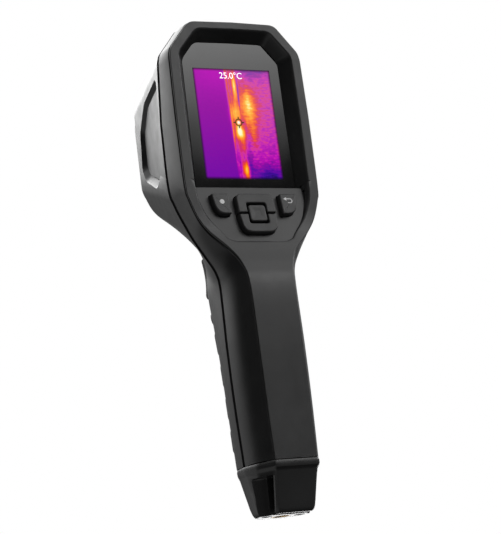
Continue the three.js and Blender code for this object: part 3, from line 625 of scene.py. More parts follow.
def picture(name):
    """A thermal picture in false colours, with a spot marker, seen through gloss glass."""
    material, g = blank(name)
    at = g.node("ShaderNodeSeparateXYZ")
    g.put(at.inputs[0], g.coords())
    u = g.map(at.outputs[0], -LCD_W / 2000, LCD_W / 2000, 0, 1)
    v = g.map(at.outputs[2], (LCD_Z - LCD_H / 2) / 1000, (LCD_Z + LCD_H / 2) / 1000, 0, 1)
    ripple = g.noise(g.coords((260, 1, 40)), 1, 3)
    u_soft = g.add(u, g.mul(g.sub(ripple, 0.5), 0.02))
    edge_at = g.map(v, 0, 1, 0.415, 0.38)
    right = g.map(g.sub(u_soft, edge_at), 0.0, 0.03, 0, 1, True)
    heat = g.add(g.map(v, 0, 1, 0.262, 0.37), g.mul(right, 0.10))
    for cu, cv, su, sv, strength in HEAT:
        du = g.math("DIVIDE", g.sub(u_soft, cu), su)
        dv = g.math("DIVIDE", g.sub(v, cv), sv)
        far = g.add(g.mul(du, du), g.mul(dv, dv))
        heat = g.math("MULTIPLY_ADD", g.math("POWER", 2.718, g.mul(far, -1.0)), strength, heat)
    lines = g.noise(g.coords((300, 1, 1100)), 1, 2)
    posts = g.noise(g.coords((700, 1, 90)), 1, 2)
    spots = g.noise(g.coords((700, 1, 700)), 1, 2)
    across = g.map(u, 0.52, 0.64, 0, 1, True)
    level = g.mul(g.sub(lines, 0.5), across)
    upright = g.mul(g.sub(posts, 0.5), g.sub(1, across))
    texture = g.mul(g.add(level, upright), 1.5)
    texture = g.add(texture, g.mul(g.sub(spots, 0.5), 0.6))
    heat = g.math("MULTIPLY_ADD", g.mul(texture, right), 0.22, heat)
    heat = g.math("MULTIPLY_ADD", g.sub(spots, 0.5), 0.03, heat)
    colour = g.ramp(heat, IRONBOW)
    haze = g.mul(right, g.map(v, 0.1, 0.75, 0.0, 0.10, True))
    colour = g.mixed(haze, colour, (0.9, 0.45, 0.5))
    dx = g.mul(g.sub(u, 0.512), LCD_W)
    dz = g.mul(g.sub(v, 0.512), LCD_H)
    far = g.math("SQRT", g.add(g.mul(dx, dx), g.mul(dz, dz)))
    ring = g.map(g.math("ABSOLUTE", g.sub(far, 1.45)), 0.15, 0.45, 0.85, 0.0, True)
    nearest = g.math("MINIMUM", g.math("ABSOLUTE", dx), g.math("ABSOLUTE", dz))
    off_ring = g.math("ABSOLUTE", g.sub(far, 1.9))
    ticks = g.mul(g.map(nearest, 0.1, 0.4, 1, 0, True), g.map(off_ring, 0.5, 0.8, 1, 0, True))
    colour = g.mixed(g.math("MAXIMUM", ring, ticks), colour, (0.01, 0.03, 0.005))
    colour = g.mixed(g.map(far, 0.35, 0.95, 1, 0, True), colour, (1.0, 1.0, 0.86))
    edge_u = g.math("MINIMUM", u, g.sub(1, u))
    edge_v = g.math("MINIMUM", v, g.sub(1, v))
    edge = g.mul(g.map(edge_u, 0, 0.035, 0.12, 1, True), g.map(edge_v, 0, 0.028, 0.12, 1, True))
    lit = g.mixed(1.0, colour, edge, "MULTIPLY")
    blacks = [(0.35, (0.003, 0.003, 0.004)), (0.65, (0.006, 0.006, 0.007))]
    g.set("Base Color", g.ramp(g.noise(g.coords(), 30, 3), blacks))
    g.set("Emission Color", lit)
    g.set("Emission Strength", 1.0)
    g.set("Specular IOR Level", 0.04)
    g.set("Roughness", g.map(g.noise(g.coords(), 70, 6, 0.7), 0.35, 0.75, 0.1, 0.16))
    return material


def glowing(name, colour, strength):
    material, g = blank(name)
    shade = g.ramp(g.noise(g.coords(), 900, 2), [(0.3, [c * 0.9 for c in colour]), (0.7, colour)])
    g.set("Base Color", shade)
    g.set("Emission Color", shade)
    g.set("Emission Strength", strength)
    g.set("Roughness", 0.5)
    return material


# Darker and lighter colour, roughness, grain, bump depth and strength, wear, specular level.
CASE = moulded(
    "case", (0.011, 0.0112, 0.0114), (0.019, 0.0192, 0.0195), (0.3, 0.38), 1500, 0.00003, 0.4, 0.2)
KEYCAP = moulded(
    "key", (0.018, 0.0182, 0.0185), (0.026, 0.0262, 0.0265), (0.42, 0.5), 2200, 0.00002, 0.35, 0.2)
RUBBER = moulded(
    "elastomer", (0.008, 0.008, 0.0082), (0.015, 0.015, 0.0153), (0.5, 0.62), 1300, 0.00005, 0.5,
    0.1, 0.4)
SEAL = moulded(
    "seal", (0.002,) * 3, (0.005,) * 3, (0.6, 0.75), 2000, 0.00002, 0.3, 0.0, 0.25)
INNER = moulded(
    "inner_plastic", (0.04, 0.042, 0.046), (0.065, 0.067, 0.07), (0.5, 0.65), 1100, 0.00003, 0.4)
CELL = moulded(
    "cell_wrap", (0.015, 0.07, 0.26), (0.03, 0.12, 0.38), (0.25, 0.4), 700, 0.00001, 0.2)
SOCKET = moulded(
    "socket_yellow", (0.50, 0.33, 0.02), (0.68, 0.47, 0.05), (0.4, 0.5), 1300, 0.00002, 0.3)
PRINT = moulded("icon_print", (0.62,) * 3, (0.78,) * 3, (0.5, 0.6), 1500, 0.00001, 0.2)
GLOSS = glossy("gloss_black", (0.002, 0.002, 0.0022), (0.0035, 0.0035, 0.0038), (0.04, 0.08))
BOARD = board("circuit_board")
STEEL = metal("steel", (0.42, 0.43, 0.44), (0.62, 0.63, 0.64), (0.28, 0.42))
BRASS = metal("brass", (0.5, 0.33, 0.11), (0.68, 0.47, 0.18), (0.25, 0.38), (900, 900, 60))
GERMANIUM = metal(
    "germanium", (0.05, 0.055, 0.075), (0.10, 0.105, 0.13), (0.06, 0.14), (60, 60, 60))
LENS = clear("clear_lens", (0.86, 0.92, 0.95))
PICTURE = picture("lcd_picture")
READOUT = glowing("lcd_readout", (1.0, 0.96, 1.0), 0.9)

FINISH = {
    "case": CASE, "key": KEYCAP, "elastomer": RUBBER, "seal": SEAL, "gloss_black": GLOSS,
    "lcd": PICTURE, "inner_plastic": INNER, "circuit_board": BOARD, "cell_wrap": CELL,
    "steel": STEEL, "brass": BRASS, "germanium": GERMANIUM, "clear_lens": LENS,
    "socket_yellow": SOCKET,
}


# ------------------------------------------------------------------ finishing a piece
def piece(obj, name, slot, *nodes, body="housing", material=None, sharp=30.0, weld=True):
    """Turns a solid in the drawing frame into a shown piece in the row frame."""
    obj.name = name
    obj.data.name = name
    bm = bmesh.new()
    bm.from_mesh(obj.data)
    if weld:
        bmesh.ops.remove_doubles(bm, verts=bm.verts, dist=2e-4)
        bmesh.ops.dissolve_limit(bm, angle_limit=math.radians(0.4), verts=bm.verts, edges=bm.edges)
    for edge in bm.edges:
        edge.smooth = len(edge.link_faces) == 2 and edge.calc_face_angle(0) < math.radians(sharp)
    for face in bm.faces:
        face.smooth = True
    bm.to_mesh(obj.data)
    bm.free()
    obj.data.transform(TO_ROW)
    obj.data.materials.clear()
    obj.data.materials.append(material or FINISH[slot])
    weighted = obj.modifiers.new("normals", "WEIGHTED_NORMAL")
    weighted.keep_sharp = True
    if nodes:
        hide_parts(*nodes)
    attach(obj, body)
    return obj


# ------------------------------------------------------------------ shells and seals
LIP = 0.3  # rounding of the shells' edges along the seams
FRONT_ROUND = 1.6  # rounding of the front shell's edge round the front face
NECK_STATIONS = (7.8, 10.4)  # stations between which the flat sides turn into the round grip
NECK_Z = (98, 116)  # heights between which the rear seam widens from the grip to the head
TABLE_STEPS = 60
GRIP_FRONT_Y = (19, 60)  # range of Y that holds the front of the grip and nothing of its back
FILLET = [(k / 3) * math.pi / 2 for k in range(3)]


def lip_ends(lip):
    """Inset and distance along the side of the rows that round a shell's edge."""
    return [(lip * (1 - math.sin(a)), lip * (1 - math.cos(a))) for a in FILLET]


def lipped(rows_at, y0, y1, shares, lip=LIP):
    """Rows between two seams, with both edges rounded; rows_at(inset, y function) makes one."""
    rows = []
    for inset, along in lip_ends(lip):
        rows.append(rows_at(inset, lambda r, m, d=along: y0(r, m) + d))
    for t in shares:
        rows.append(rows_at(0.0, lambda r, m, t=t: mix(y0(r, m) + lip, y1(r, m) - lip, t)))
    for inset, along in reversed(lip_ends(lip)):
        rows.append(rows_at(inset, lambda r, m, d=along: y1(r, m) - d))
    return rows


def skirt(r):
    """Side of the rear cover that shows behind its joint: almost none on the grip."""
    return mix(0.3, SKIRT, smoothstep(r.z, *NECK_Z))


def rear_seam(r):
    return mix(0.25, SEAM, smoothstep(r.z, *NECK_Z))


def middle_frame():
    y0, y1 = (lambda r, m: r.y + skirt(r) + rear_seam(r)), (lambda r, m: m.y - FRONT_SEAM / 2)
    shares = [k / 16 for k in range(17)]
    outer = lipped(lambda t, y: side_row(edges(t), y), y0, y1, shares)
    inner = lipped(lambda t, y: side_row(edges(WALL), y), y0, y1, shares)
    return band(outer, inner)


def seal(y0, y1):
    outer = lipped(lambda t, y: side_row(edges(t + 0.55), y), y0, y1, [0, 1], 0.08)
    inner = lipped(lambda t, y: side_row(edges(WALL - 0.2), y), y0, y1, [0, 1], 0.08)
    return band(outer, inner)


def front_rows(t_inset, per=6, steps=20, lip=LIP):
    """Rows from the middle edge forward, round the front edge and onto the front face."""
    _, middle, front, at = edges(t_inset, per)
    inner_front = inset_points(front, FRONT_ROUND)

    def row(t):
        angle = t * math.pi / 2
        out = []
        for m, f, s in zip(middle, front, at):
            head = 1 - smoothstep(s, *NECK_STATIONS)
            inward = mix(1 - math.cos(angle), t, head)
            forward = mix(math.sin(angle), t, head)
            y0 = m.y + FRONT_SEAM / 2
            out.append(Vector((mix(m.x, f.x, inward), mix(y0, f.y, forward), mix(m.z, f.z, inward))))
        return out

    last = [1 - FRONT_ROUND / max(4.0, (f - m).length) for m, f in zip(middle, front)]
    rows = [row(0.0)]
    if lip:
        lip_edges = [inset_points(row(0.0), inset, along) for inset, along in lip_ends(lip)]
        rows = lip_edges + [[p + Vector((0, lip, 0)) for p in row(0.0)]]
        tucked = row(lip / (NOSE_Y - SEAM_Y))
        rows[-1] = [Vector((a.x, max(a.y, b.y), a.z)) for a, b in zip(tucked, rows[-1])]
    table = [row(k / TABLE_STEPS) for k in range(TABLE_STEPS + 1)]

    def at_share(i, t):
        k = min(TABLE_STEPS - 1, int(t * TABLE_STEPS))
        return table[k][i].lerp(table[k + 1][i], t * TABLE_STEPS - k)

    for k in range(1, steps + 1):
        rows.append([at_share(i, clamp(last[i] * k / steps)) for i in range(len(front))])
    edge = rows[-1]
    for k in range(1, 6):
        rows.append([bezier(a, f, b, k / 5) for a, f, b in zip(edge, front, inner_front)])
    return rows


def front_layer(outside, inside, low, high, half, r):
    """The part of the front shell's surface between two depths, behind a rounded rectangle."""
    layer = shell(front_rows(outside, lip=0), front_rows(inside, lip=0))
    outline = rounded_rect(2 * half, high - low, r, 0, (high + low) / 2)
    return common(layer, plate(outline, *GRIP_FRONT_Y))


# ------------------------------------------------------------------ rear cover
SURROUND = [(0, 206.2), (17.3, 206), (26.7, 195), (27, 168), (26.85, PAD_TOP_Z)]
WINDOW = [(0, 202.4), (16.4, 202.2), (23, 194.2), (23.2, 168), (23.7, PAD_TOP_Z)]
PANEL = [(24.9, 0), (24.6, -6.8), (21.9, -14.5), (17, -21), (14.8, -23.8), (11.4, -25.1)]
PANEL_DRAFT = 0.5
PANEL_DROP = 0.15  # how far the panel's walls sink for each millimetre of height
PANEL_THICK = 2
# Height above or below the face that a lip meets, and how far it has spread there.
LIP_PROFILE = [(-0.9, 0.0), (-0.5, 0.07), (-0.26, 0.2), (-0.1, 0.38), (0.0, 0.62), (0.6, 2.4)]

ONTO_PANEL = Matrix.Translation((0, PAD_TOP_Y, PAD_TOP_Z)) @ Matrix.Rotation(-PAD_TILT, 4, "X")
REAR_LINE, _ = edge_points(REAR_EDGE, 8)


def back_face_y(z):
    """Y of the body's rear face at a height."""
    for a, b in zip(REAR_LINE, REAR_LINE[1:]):
        if b.z <= z <= a.z:
            return mix(a.y, b.y, (a.z - z) / max(1e-9, a.z - b.z))
    return 0.0 if z > 150 else BACK_Y


def surround_half(points):
    return round_open(points[:4], 2.4, 8) + [Vector(points[4])]


def funnel_cutter():
    outer, inner = surround_half(SURROUND), surround_half(WINDOW)
    loops = []
    for rise, spread in reversed(LIP_PROFILE):
        base = both([a.lerp(b, -rise / WINDOW_Y) for a, b in zip(outer, inner)])
        grown = grow(base, spread)
        for i, (p, q) in enumerate(zip(base, grown)):
            if p[1] < PAD_TOP_Z + 0.01:
                grown[i] = Vector((q[0], p[1]))
        loops.append(flat(grown, -rise))
    loops.append(flat(both(inner), WINDOW_Y))
    return rings(loops)


def panel_half():
    low = PANEL[-1][1]
    return through([Vector(p) for p in PANEL], 5) + [Vector((6, low)), Vector((0, low))]


def panel_wall_height(x, z):
    """How far the rear face stands above the panel, measured square to the panel."""
    d = 0.0
    for _ in range(8):
        p = ONTO_PANEL @ Vector((x, -d, z - PANEL_DROP * d))
        d += (p.y - back_face_y(p.z)) / math.cos(PAD_TILT)
    return max(0.3, d)


def panel_cutter():
    outline = both(panel_half())
    out = normals(outline)
    high = [panel_wall_height(p[0], p[1]) for p in outline]
    top = (0, len(outline) - 1)
    loops = []
    for rise, share in [(None, 0.0), *LIP_PROFILE]:
        loop = []
        for i, (p, n, h) in enumerate(zip(outline, out, high)):
            size = min(1.0, h / 1.3)
            d = 0.0 if rise is None else max(0.0, h + rise * (size if rise < 0 else 1))
            spread = share * (size if rise is not None and rise <= 0 else 1)
            side = math.copysign(1, p[0]) if abs(p[0]) > 1e-6 else 0
            wide = PANEL_DRAFT * d * clamp(abs(p[0]) / 8)
            if i in top:
                loop.append(Vector((p[0] + side * (wide + spread), -d, 0.6 + 0.25 * d)))
            else:
                z = p[1] - PANEL_DROP * d + n[1] * spread
                loop.append(Vector((p[0] + side * wide + n[0] * spread, -d, z)))
        loops.append(loop)
    return move(rings(loops), ONTO_PANEL)


PADDLE_X, PADDLE_TOP, PADDLE_MID, PADDLE_LOW = 8.7, -4.2, -13.2, -22
HOLE, HOLE_TOP, HOLE_LOW = 4.5, -8.6, -17.9
HOLE_MID = (HOLE_TOP + HOLE_LOW) / 2
SELECT_W, SELECT_H, SELECT_R = 8, 7.6, 1.3
SPLIT = 0.35


def key_outlines():
    def corner(side):
        points = round_open([(12, -13.6), (12, -4.2), (19.8, -4.2), (19.3, -9)], 0.7, 4)[1:]
        return [Vector((side * x, z)) for x, z in [*arc((19.3, -9), (18.6, -13.6), (14.4, -13.6)),
                *round_open([(14.4, -13.6), (12, -13.6), (12, -4.2)], 0.7, 4)[1:-1], *points[1:-1]]]

    x, m = PADDLE_X, PADDLE_MID
    upper = [Vector((-x, m + SPLIT)), *arc((-x, PADDLE_TOP - 3), (-x, PADDLE_TOP), (3 - x, PADDLE_TOP)),
             *arc((x - 3, PADDLE_TOP), (x, PADDLE_TOP), (x, PADDLE_TOP - 3)), Vector((x, m + SPLIT)),
             Vector((HOLE, m + SPLIT)),
             *arc((HOLE, HOLE_TOP - 0.9), (HOLE, HOLE_TOP), (HOLE - 0.9, HOLE_TOP), 4),
             *arc((0.9 - HOLE, HOLE_TOP), (-HOLE, HOLE_TOP), (-HOLE, HOLE_TOP - 0.9), 4),
             Vector((-HOLE, m + SPLIT))]
    lower = [Vector((-x, m - SPLIT)), Vector((-HOLE, m - SPLIT)),
             *arc((-HOLE, HOLE_LOW + 0.9), (-HOLE, HOLE_LOW), (0.9 - HOLE, HOLE_LOW), 4),
             *arc((HOLE - 0.9, HOLE_LOW), (HOLE, HOLE_LOW), (HOLE, HOLE_LOW + 0.9), 4),
             Vector((HOLE, m - SPLIT)), Vector((x, m - SPLIT)),
             *arc((x - 0.4, PADDLE_LOW + 4.4), (x - 0.6, PADDLE_LOW), (x - 5, PADDLE_LOW)),
             *arc((5 - x, PADDLE_LOW), (0.6 - x, PADDLE_LOW), (0.4 - x, PADDLE_LOW + 4.4))]
    return {
        "capture": corner(-1), "up": upper, "down": lower,
        "select": rounded_rect(SELECT_W, SELECT_H, SELECT_R, 0, HOLE_MID), "back": corner(1),
    }


KEYS = key_outlines()


def cover_rows(e, depth, soft):
    def start_y(r):
        return min(soft, skirt(r) * 0.6)

    rear = e[0]
    inner = inset_points(rear, soft)
    start = side_row(e, lambda r, m: r.y + start_y(r))
    rows = []
    for d in (0, 0.35, 0.7):
        rows.append(side_row(e, lambda r, m, d=d: r.y + mix(skirt(r), start_y(r), d)))
    for k in range(5):
        rows.append([bezier(a, r, b, k / 4) for a, r, b in zip(start, rear, inner)])
    return [[p + Vector((0, depth * clamp(i - 1), 0)) for p in row] for i, row in enumerate(rows)]


def rear_cover():
    blank_cover = shell(cover_rows(edges(0), 0, 0.45), cover_rows(edges(WALL + 0.4), WALL, 0.3))
    outer, inner = surround_half(SURROUND), surround_half(WINDOW)
    wide = [flat(grow(both(outer), 1.1), 1.2), flat(grow(both(inner), 1.5), WINDOW_Y + GLASS_THICK)]
    panel = move(plate(grow(both(panel_half()), 1.4), 0, PANEL_THICK), ONTO_PANEL)
    body = join(blank_cover, rings(wide), panel)
    cut(body, funnel_cutter(), plate(both(inner), WINDOW_Y - 0.01, WINDOW_Y + 5), panel_cutter())
    openings = [grow(outline, GAP) for outline in KEYS.values()]
    x, m = PADDLE_X, PADDLE_MID
    openings.append([Vector(q) for q in ((-x, m - 1), (x, m - 1), (x, m + 1), (-x, m + 1))])
    openings.append(rounded_rect(2 * HOLE + 1, HOLE_TOP - HOLE_LOW + 1, 0.5, 0, HOLE_MID))
    for outline in openings:
        cut(body, move(plate(outline, -1, PANEL_THICK + 3), ONTO_PANEL))
    edge = move(box(60, 0.9, 0.9), Matrix.Rotation(math.radians(45), 4, "X"))
    cut(body, move(edge, Matrix.Translation((0, PAD_TOP_Y - 0.02, PAD_TOP_Z + 0.36))))
    return body


def key_cap(outline, dished=False):
    loops = [flat(outline, KEY_STEM)]
    loops += [flat(grow(outline, -inset), depth - KEY_PROUD) for inset, depth in rounding(0.65, 4)]
    if dished:
        for inset, depth in ((1.3, 0.02), (1.8, 0.12), (2.4, 0.24), (3.0, 0.3)):
            r = max(0.3, SELECT_R - inset * 0.3)
            dish = rounded_rect(SELECT_W - 2 * inset, SELECT_H - 2 * inset, r, 0, HOLE_MID)
            loops.append(flat(dish, depth - KEY_PROUD))
    return move(rings(loops), ONTO_PANEL)


piece(rear_cover(), "rear_cover_moulding", "case", "rear_cover")
piece(middle_frame(), "middle_frame_moulding", "case", "middle_frame")
behind_seal = seal(
    lambda r, m: r.y + skirt(r) + 0.03, lambda r, m: r.y + skirt(r) + rear_seam(r) - 0.03)
piece(behind_seal, "rear_seal_band", "seal", "rear_seal")
ahead_seal = seal(
    lambda r, m: m.y - FRONT_SEAM / 2 + 0.05, lambda r, m: m.y + FRONT_SEAM / 2 - 0.05)
piece(ahead_seal, "front_seal_band", "seal", "front_seal")

glass = pillow(grow(both(surround_half(WINDOW)), -0.12), WINDOW_Y + GLASS_THICK, WINDOW_Y, 0.15, 2)
lcd_outline = rect(LCD_W, LCD_H, 0, LCD_Z)
cut(glass, plate(grow(lcd_outline, 0.02), WINDOW_Y - 1, WINDOW_Y + 3))
piece(glass, "display_glass", "gloss_black", "display_window")
lit_picture = plate(lcd_outline, WINDOW_Y + 0.005, WINDOW_Y + 3.9)
piece(lit_picture, "lcd_picture", "lcd", "lcd_panel")
lit_picture.visible_diffuse = False
lit_picture.visible_glossy = False

for key, outline in KEYS.items():
    cap = key_cap(outline, key == "select")
    piece(cap, f"key_{key}_cap", "key", f"key_{key}", body=f"key_{key}_body")


def printed(outline, name, key):
    """A printed mark on a key's face."""
    mark = move(plate(outline, -KEY_PROUD - 0.04, -KEY_PROUD + 0.1), ONTO_PANEL)
    piece(mark, name, "key", body=f"key_{key}_body", material=PRINT)


def stroke(points, width):
    """The outline of a line of even width through the points."""
    left, right = [], []
    for i, p in enumerate(points):
        d = (points[min(i + 1, len(points) - 1)] - points[max(i - 1, 0)]).normalized()
        n = Vector((-d[1], d[0])) * width / 2
        left.append(p + n)
        right.append(p - n)
    return left + right[::-1]


# Places of the printed marks on the panel.
DOT = (-15.6, -8.1)
RETURN_X, RETURN_Z, RETURN_R = 15.6, -7.6, 0.9
printed(circle(1.05, *DOT), "icon_dot", "capture")
return_top = RETURN_Z + RETURN_R
turn = [Vector((RETURN_X - RETURN_R, return_top)), Vector((RETURN_X + RETURN_R, return_top))]
for k in range(1, 9):
    a = math.pi / 2 - math.pi * k / 8
    x = RETURN_X + RETURN_R + RETURN_R * math.cos(a)
    turn.append(Vector((x, RETURN_Z + RETURN_R * math.sin(a))))
turn.append(Vector((RETURN_X - 0.3, RETURN_Z - RETURN_R)))
printed(stroke(turn, 0.42), "icon_return_line", "back")
arrow = ((-2.2, 0.9), (-0.8, 0.05), (-0.8, 1.75))
printed([Vector((RETURN_X + x, RETURN_Z + z)) for x, z in arrow], "icon_return_head", "back")


def readout():
    """A temperature reading in generic digits at the top of the picture."""
    curve = bpy.data.curves.new("lcd_readout", "FONT")
    curve.body = "25.0°C"
    curve.size = 3.9
    curve.extrude = 0.02
    curve.align_x = "CENTER"
    text = linked("readout", curve)
    mesh = evaluated_mesh(text)
    bpy.data.objects.remove(text)
    obj = linked("lcd_readout", mesh)
    upright = Matrix.Rotation(math.radians(90), 4, "X")
    move(obj, Matrix.Translation((-0.6, WINDOW_Y - 0.02, LCD_Z + 20.2)) @ upright)
    piece(obj, "lcd_readout", "lcd", material=READOUT, weld=False)


readout()


# ------------------------------------------------------------------ front shell and what sits in it
NOSE_INSET = 4.2  # width of the nose ring


def octagon(inset):
    side = inset * 0.42
    w, top, low = 18.4 - inset, 198.9 - inset, 143.2 + inset
    half = [(11 - side, top), (w, 188.5 - side), (w, 154.2 + side), (10.8 - side, low)]
    return round_closed(both(half), 3.2, 8)


RECESS = [(18.5, 187.2), (44, 185.4), (56.4, 177), (58.4, 163), (54, 157.4), (36, 149.4), (21, 154.6)]
SIDE_SLOPE = math.atan2(32 - 19.9, NOSE_Y - SEAM_Y)
RECESS_TILT = 0.02
RECESS_DEPTH = 2.2
RECESS_FLARE = 1.0  # how far the walls lean out for each millimetre of depth
PIVOT_Y = 17
RECESS_OUTLINE = round_closed(RECESS, 1.6, 5)
RECESS_FLOOR_X = 30.75 - RECESS_DEPTH


def onto_side(x):
    """Places things drawn on the plane X = 0 on the head's right side, at X = x where Y = PIVOT_Y."""
    turn_z = Matrix.Rotation(SIDE_SLOPE + RECESS_TILT, 4, "Z")
    return Matrix.Translation((x, PIVOT_Y, 0)) @ turn_z @ Matrix.Translation((0, -PIVOT_Y, 0))


def recess_cutter():
    out = normals(RECESS_OUTLINE)
    loops = [flat_x(RECESS_OUTLINE, 0)]
    for rise, spread in LIP_PROFILE:
        loop = []
        for p, n in zip(RECESS_OUTLINE, out):
            high = RECESS_DEPTH + RECESS_TILT * (p[0] - PIVOT_Y)
            at = max(0.05, high + rise)
            q = p + n * (at * RECESS_FLARE + spread * 0.5)
            loop.append(Vector((at, q[0], q[1])))
        loops.append(loop)
    return move(rings(loops), onto_side(RECESS_FLOOR_X))


def recess_boss():
    """The thicker wall behind the recess."""
    outline = grow(RECESS_OUTLINE, 2.6)
    return move(rings([flat_x(outline, x) for x in (-1.6, 1.2)]), onto_side(RECESS_FLOOR_X))


def side_panel():
    outline = grow(RECESS_OUTLINE, -GAP)
    edge = [flat_x(grow(outline, -inset), 0.9 - depth) for inset, depth in rounding(0.25, 3)]
    return move(rings([flat_x(outline, 0.3), *edge]), onto_side(RECESS_FLOOR_X))


FLAP_W, FLAP_Y, FLAP_LENGTH, FLAP_THICK, BARREL, HINGE = 22, 20, 22, 2, 1.6, -1.1
TOP_SLOPE = math.atan2(HEIGHT - 202.4, NOSE_Y - SEAM_Y - FRONT_SEAM / 2)
FLAP_Z = HEIGHT - (FLAP_Y - SEAM_Y - FRONT_SEAM / 2) * math.tan(TOP_SLOPE)
ONTO_TOP = Matrix.Translation((0, FLAP_Y, FLAP_Z)) @ Matrix.Rotation(-TOP_SLOPE, 4, "X")


def flap_cutter():
    mouth = rounded_rect(FLAP_W, FLAP_LENGTH + 2 * GAP, 0.8, 0, FLAP_LENGTH / 2 + GAP, 4)
    lip = [(0.12, -0.2), (0.35, 0.02), (1.5, 1.0), (1.5, 5)]
    loops = [flat_z(mouth, -7), flat_z(mouth, -0.5), *[flat_z(grow(mouth, t), z) for t, z in lip]]
    barrel_room = rod(BARREL + 0.4, FLAP_W, (0, 0, HINGE), "X")
    opening = join(rings(loops), barrel_room, rod(0.8, FLAP_W + 6, (0, 0, HINGE), "X", 24))
    return move(opening, ONTO_TOP)


def port_flap():
    w, top = FLAP_W - 2 * GAP, HINGE + FLAP_THICK / 2
    leaf = rounded_rect(w, FLAP_LENGTH, 1.0, 0, FLAP_LENGTH / 2, 4)
    edge = [flat_z(grow(leaf, -inset), top - depth) for inset, depth in rounding(0.4, 3)]
    loops = [flat_z(leaf, top - FLAP_THICK), *edge]
    pull = rounded_rect(8, 1.6, 0.7, 0, FLAP_LENGTH - 1.4, 4)
    tab_edge = [flat_z(grow(pull, -t), z) for t, z in ((0.12, 0.9), (0.4, 1.0))]
    tab = rings([flat_z(pull, -0.5), flat_z(pull, 0.7), *tab_edge])
    obj = join(rings(loops), tab, rod(BARREL, w, (0, 0, HINGE), "X", bevel=0.3))
    return move(cut(obj, rod(0.85, FLAP_W + 2, (0, 0, HINGE), "X", 24)), ONTO_TOP)


TRIGGER_W, TRIGGER_LOW, TRIGGER_HIGH, TRIGGER_BACK = 12, 98, 117, 30


def trigger():
    low, high, back = TRIGGER_LOW, TRIGGER_HIGH, TRIGGER_BACK

    outline = [Vector((back, low)), *arc((40.5, low), (44.8, low), (44.6, low + 2.8)),
               *arc((44.6, low + 2.8), (42.2, low + 9), (45, high - 1.6), 14)[1:],
               *arc((45, high - 1.6), (45.1, high), (43.6, high), 4)[1:], Vector((back, high))]
    return across_x(outline, TRIGGER_W, 1.0, 4)


def front_shell():
    body = shell(front_rows(0.0), front_rows(WALL, lip=0, steps=20 + len(FILLET)))
    middle_z = (TRIGGER_HIGH + TRIGGER_LOW) / 2
    slot = box(TRIGGER_W + 1, 34, TRIGGER_HIGH - TRIGGER_LOW + 1, 0, 42, middle_z)
    join(body, recess_boss(), mirror_x(recess_boss()))
    nose = plate(octagon(NOSE_INSET), NOSE_Y - 6, NOSE_Y + 1)
    cut(body, nose, flap_cutter(), recess_cutter(), mirror_x(recess_cutter()), slot)
    room = 0.3
    bed = (PAD_LOW - room, PAD_HIGH + room, PAD_HALF + room, 3.3)
    return cut(body, front_layer(-1.2, PAD_DEPTH + room, *bed))


PAD_LOW, PAD_HIGH, PAD_HALF, PAD_DEPTH, RIB, PITCH = 27, 90, 12, 1.3, 0.4, 14


def grip_pad():
    """A rubber inlay with broad, soft ribs across the front of the grip."""
    flat_rows = front_rows(0.0, 30, lip=0)
    proud_rows = front_rows(-RIB, 30, lip=0)
    deep_rows = front_rows(PAD_DEPTH, 30, lip=0)

    def ribbed(p, q):
        phase = (p.z - PAD_LOW - 7 + 0.5) / PITCH
        off = abs(phase - round(phase)) * PITCH
        return p.lerp(q, 1 - smoothstep(off, 3.6, 5.4))

    outer = [[ribbed(p, q) for p, q in zip(a, b)] for a, b in zip(flat_rows, proud_rows)]
    keep = [j for j, p in enumerate(flat_rows[0]) if p.z < 96]

    def low_part(rows):
        right = [[row[j] for j in keep] for row in rows]
        return [*right, *[mirrored(r) for r in reversed(right)]]

    whole = skin(low_part(outer), low_part(deep_rows), True)
    outline = rounded_rect(2 * PAD_HALF, PAD_HIGH - PAD_LOW, 3, 0, (PAD_HIGH + PAD_LOW) / 2)
    return common(whole, plate(outline, *GRIP_FRONT_Y))


def nose_ring():
    profile = [
        (0, 68.3), (0.1, 68.8), (2.0, 73.6), (2.25, 74.2), (2.7, 74.55), (3.1, 74.6), (3.45, 74.45),
        (3.65, 74.1), (NOSE_INSET, 68), (3.9, 67.9),
    ]
    return rings([flat(octagon(inset), y) for inset, y in profile], closed=True)


# X, Z and radius of what sits in the nose window.
OPTICS = {
    "infrared": (0, 171, 8.2), "worklight": (0, 188.6, 4.4), "camera": (-6.2, 154.2, 3.4),
    "laser": (6.2, 154.2, 2.3),
}


def nose_window():
    body = plate(octagon(NOSE_INSET + GAP), NOSE_Y - 0.2, NOSE_Y + 1.6)
    for x, z, r in OPTICS.values():
        profile = [(r + 0.3, -8), (r + 0.3, 1.3), (r + 0.45, 1.5), (r + 0.8, 1.7), (r + 0.8, 4)]
        cut(body, turned(profile, (x, NOSE_Y, z)))
    return body


def lens(which, r, y0, y1, bulge):
    x, z, _ = OPTICS[which]
    angles = [k / 8 * math.pi / 2 for k in range(9)]
    dome = [(r * math.cos(a), y1 + bulge * math.sin(a)) for a in angles]
    return turned([(r, y0), *dome], (x, 0, z))


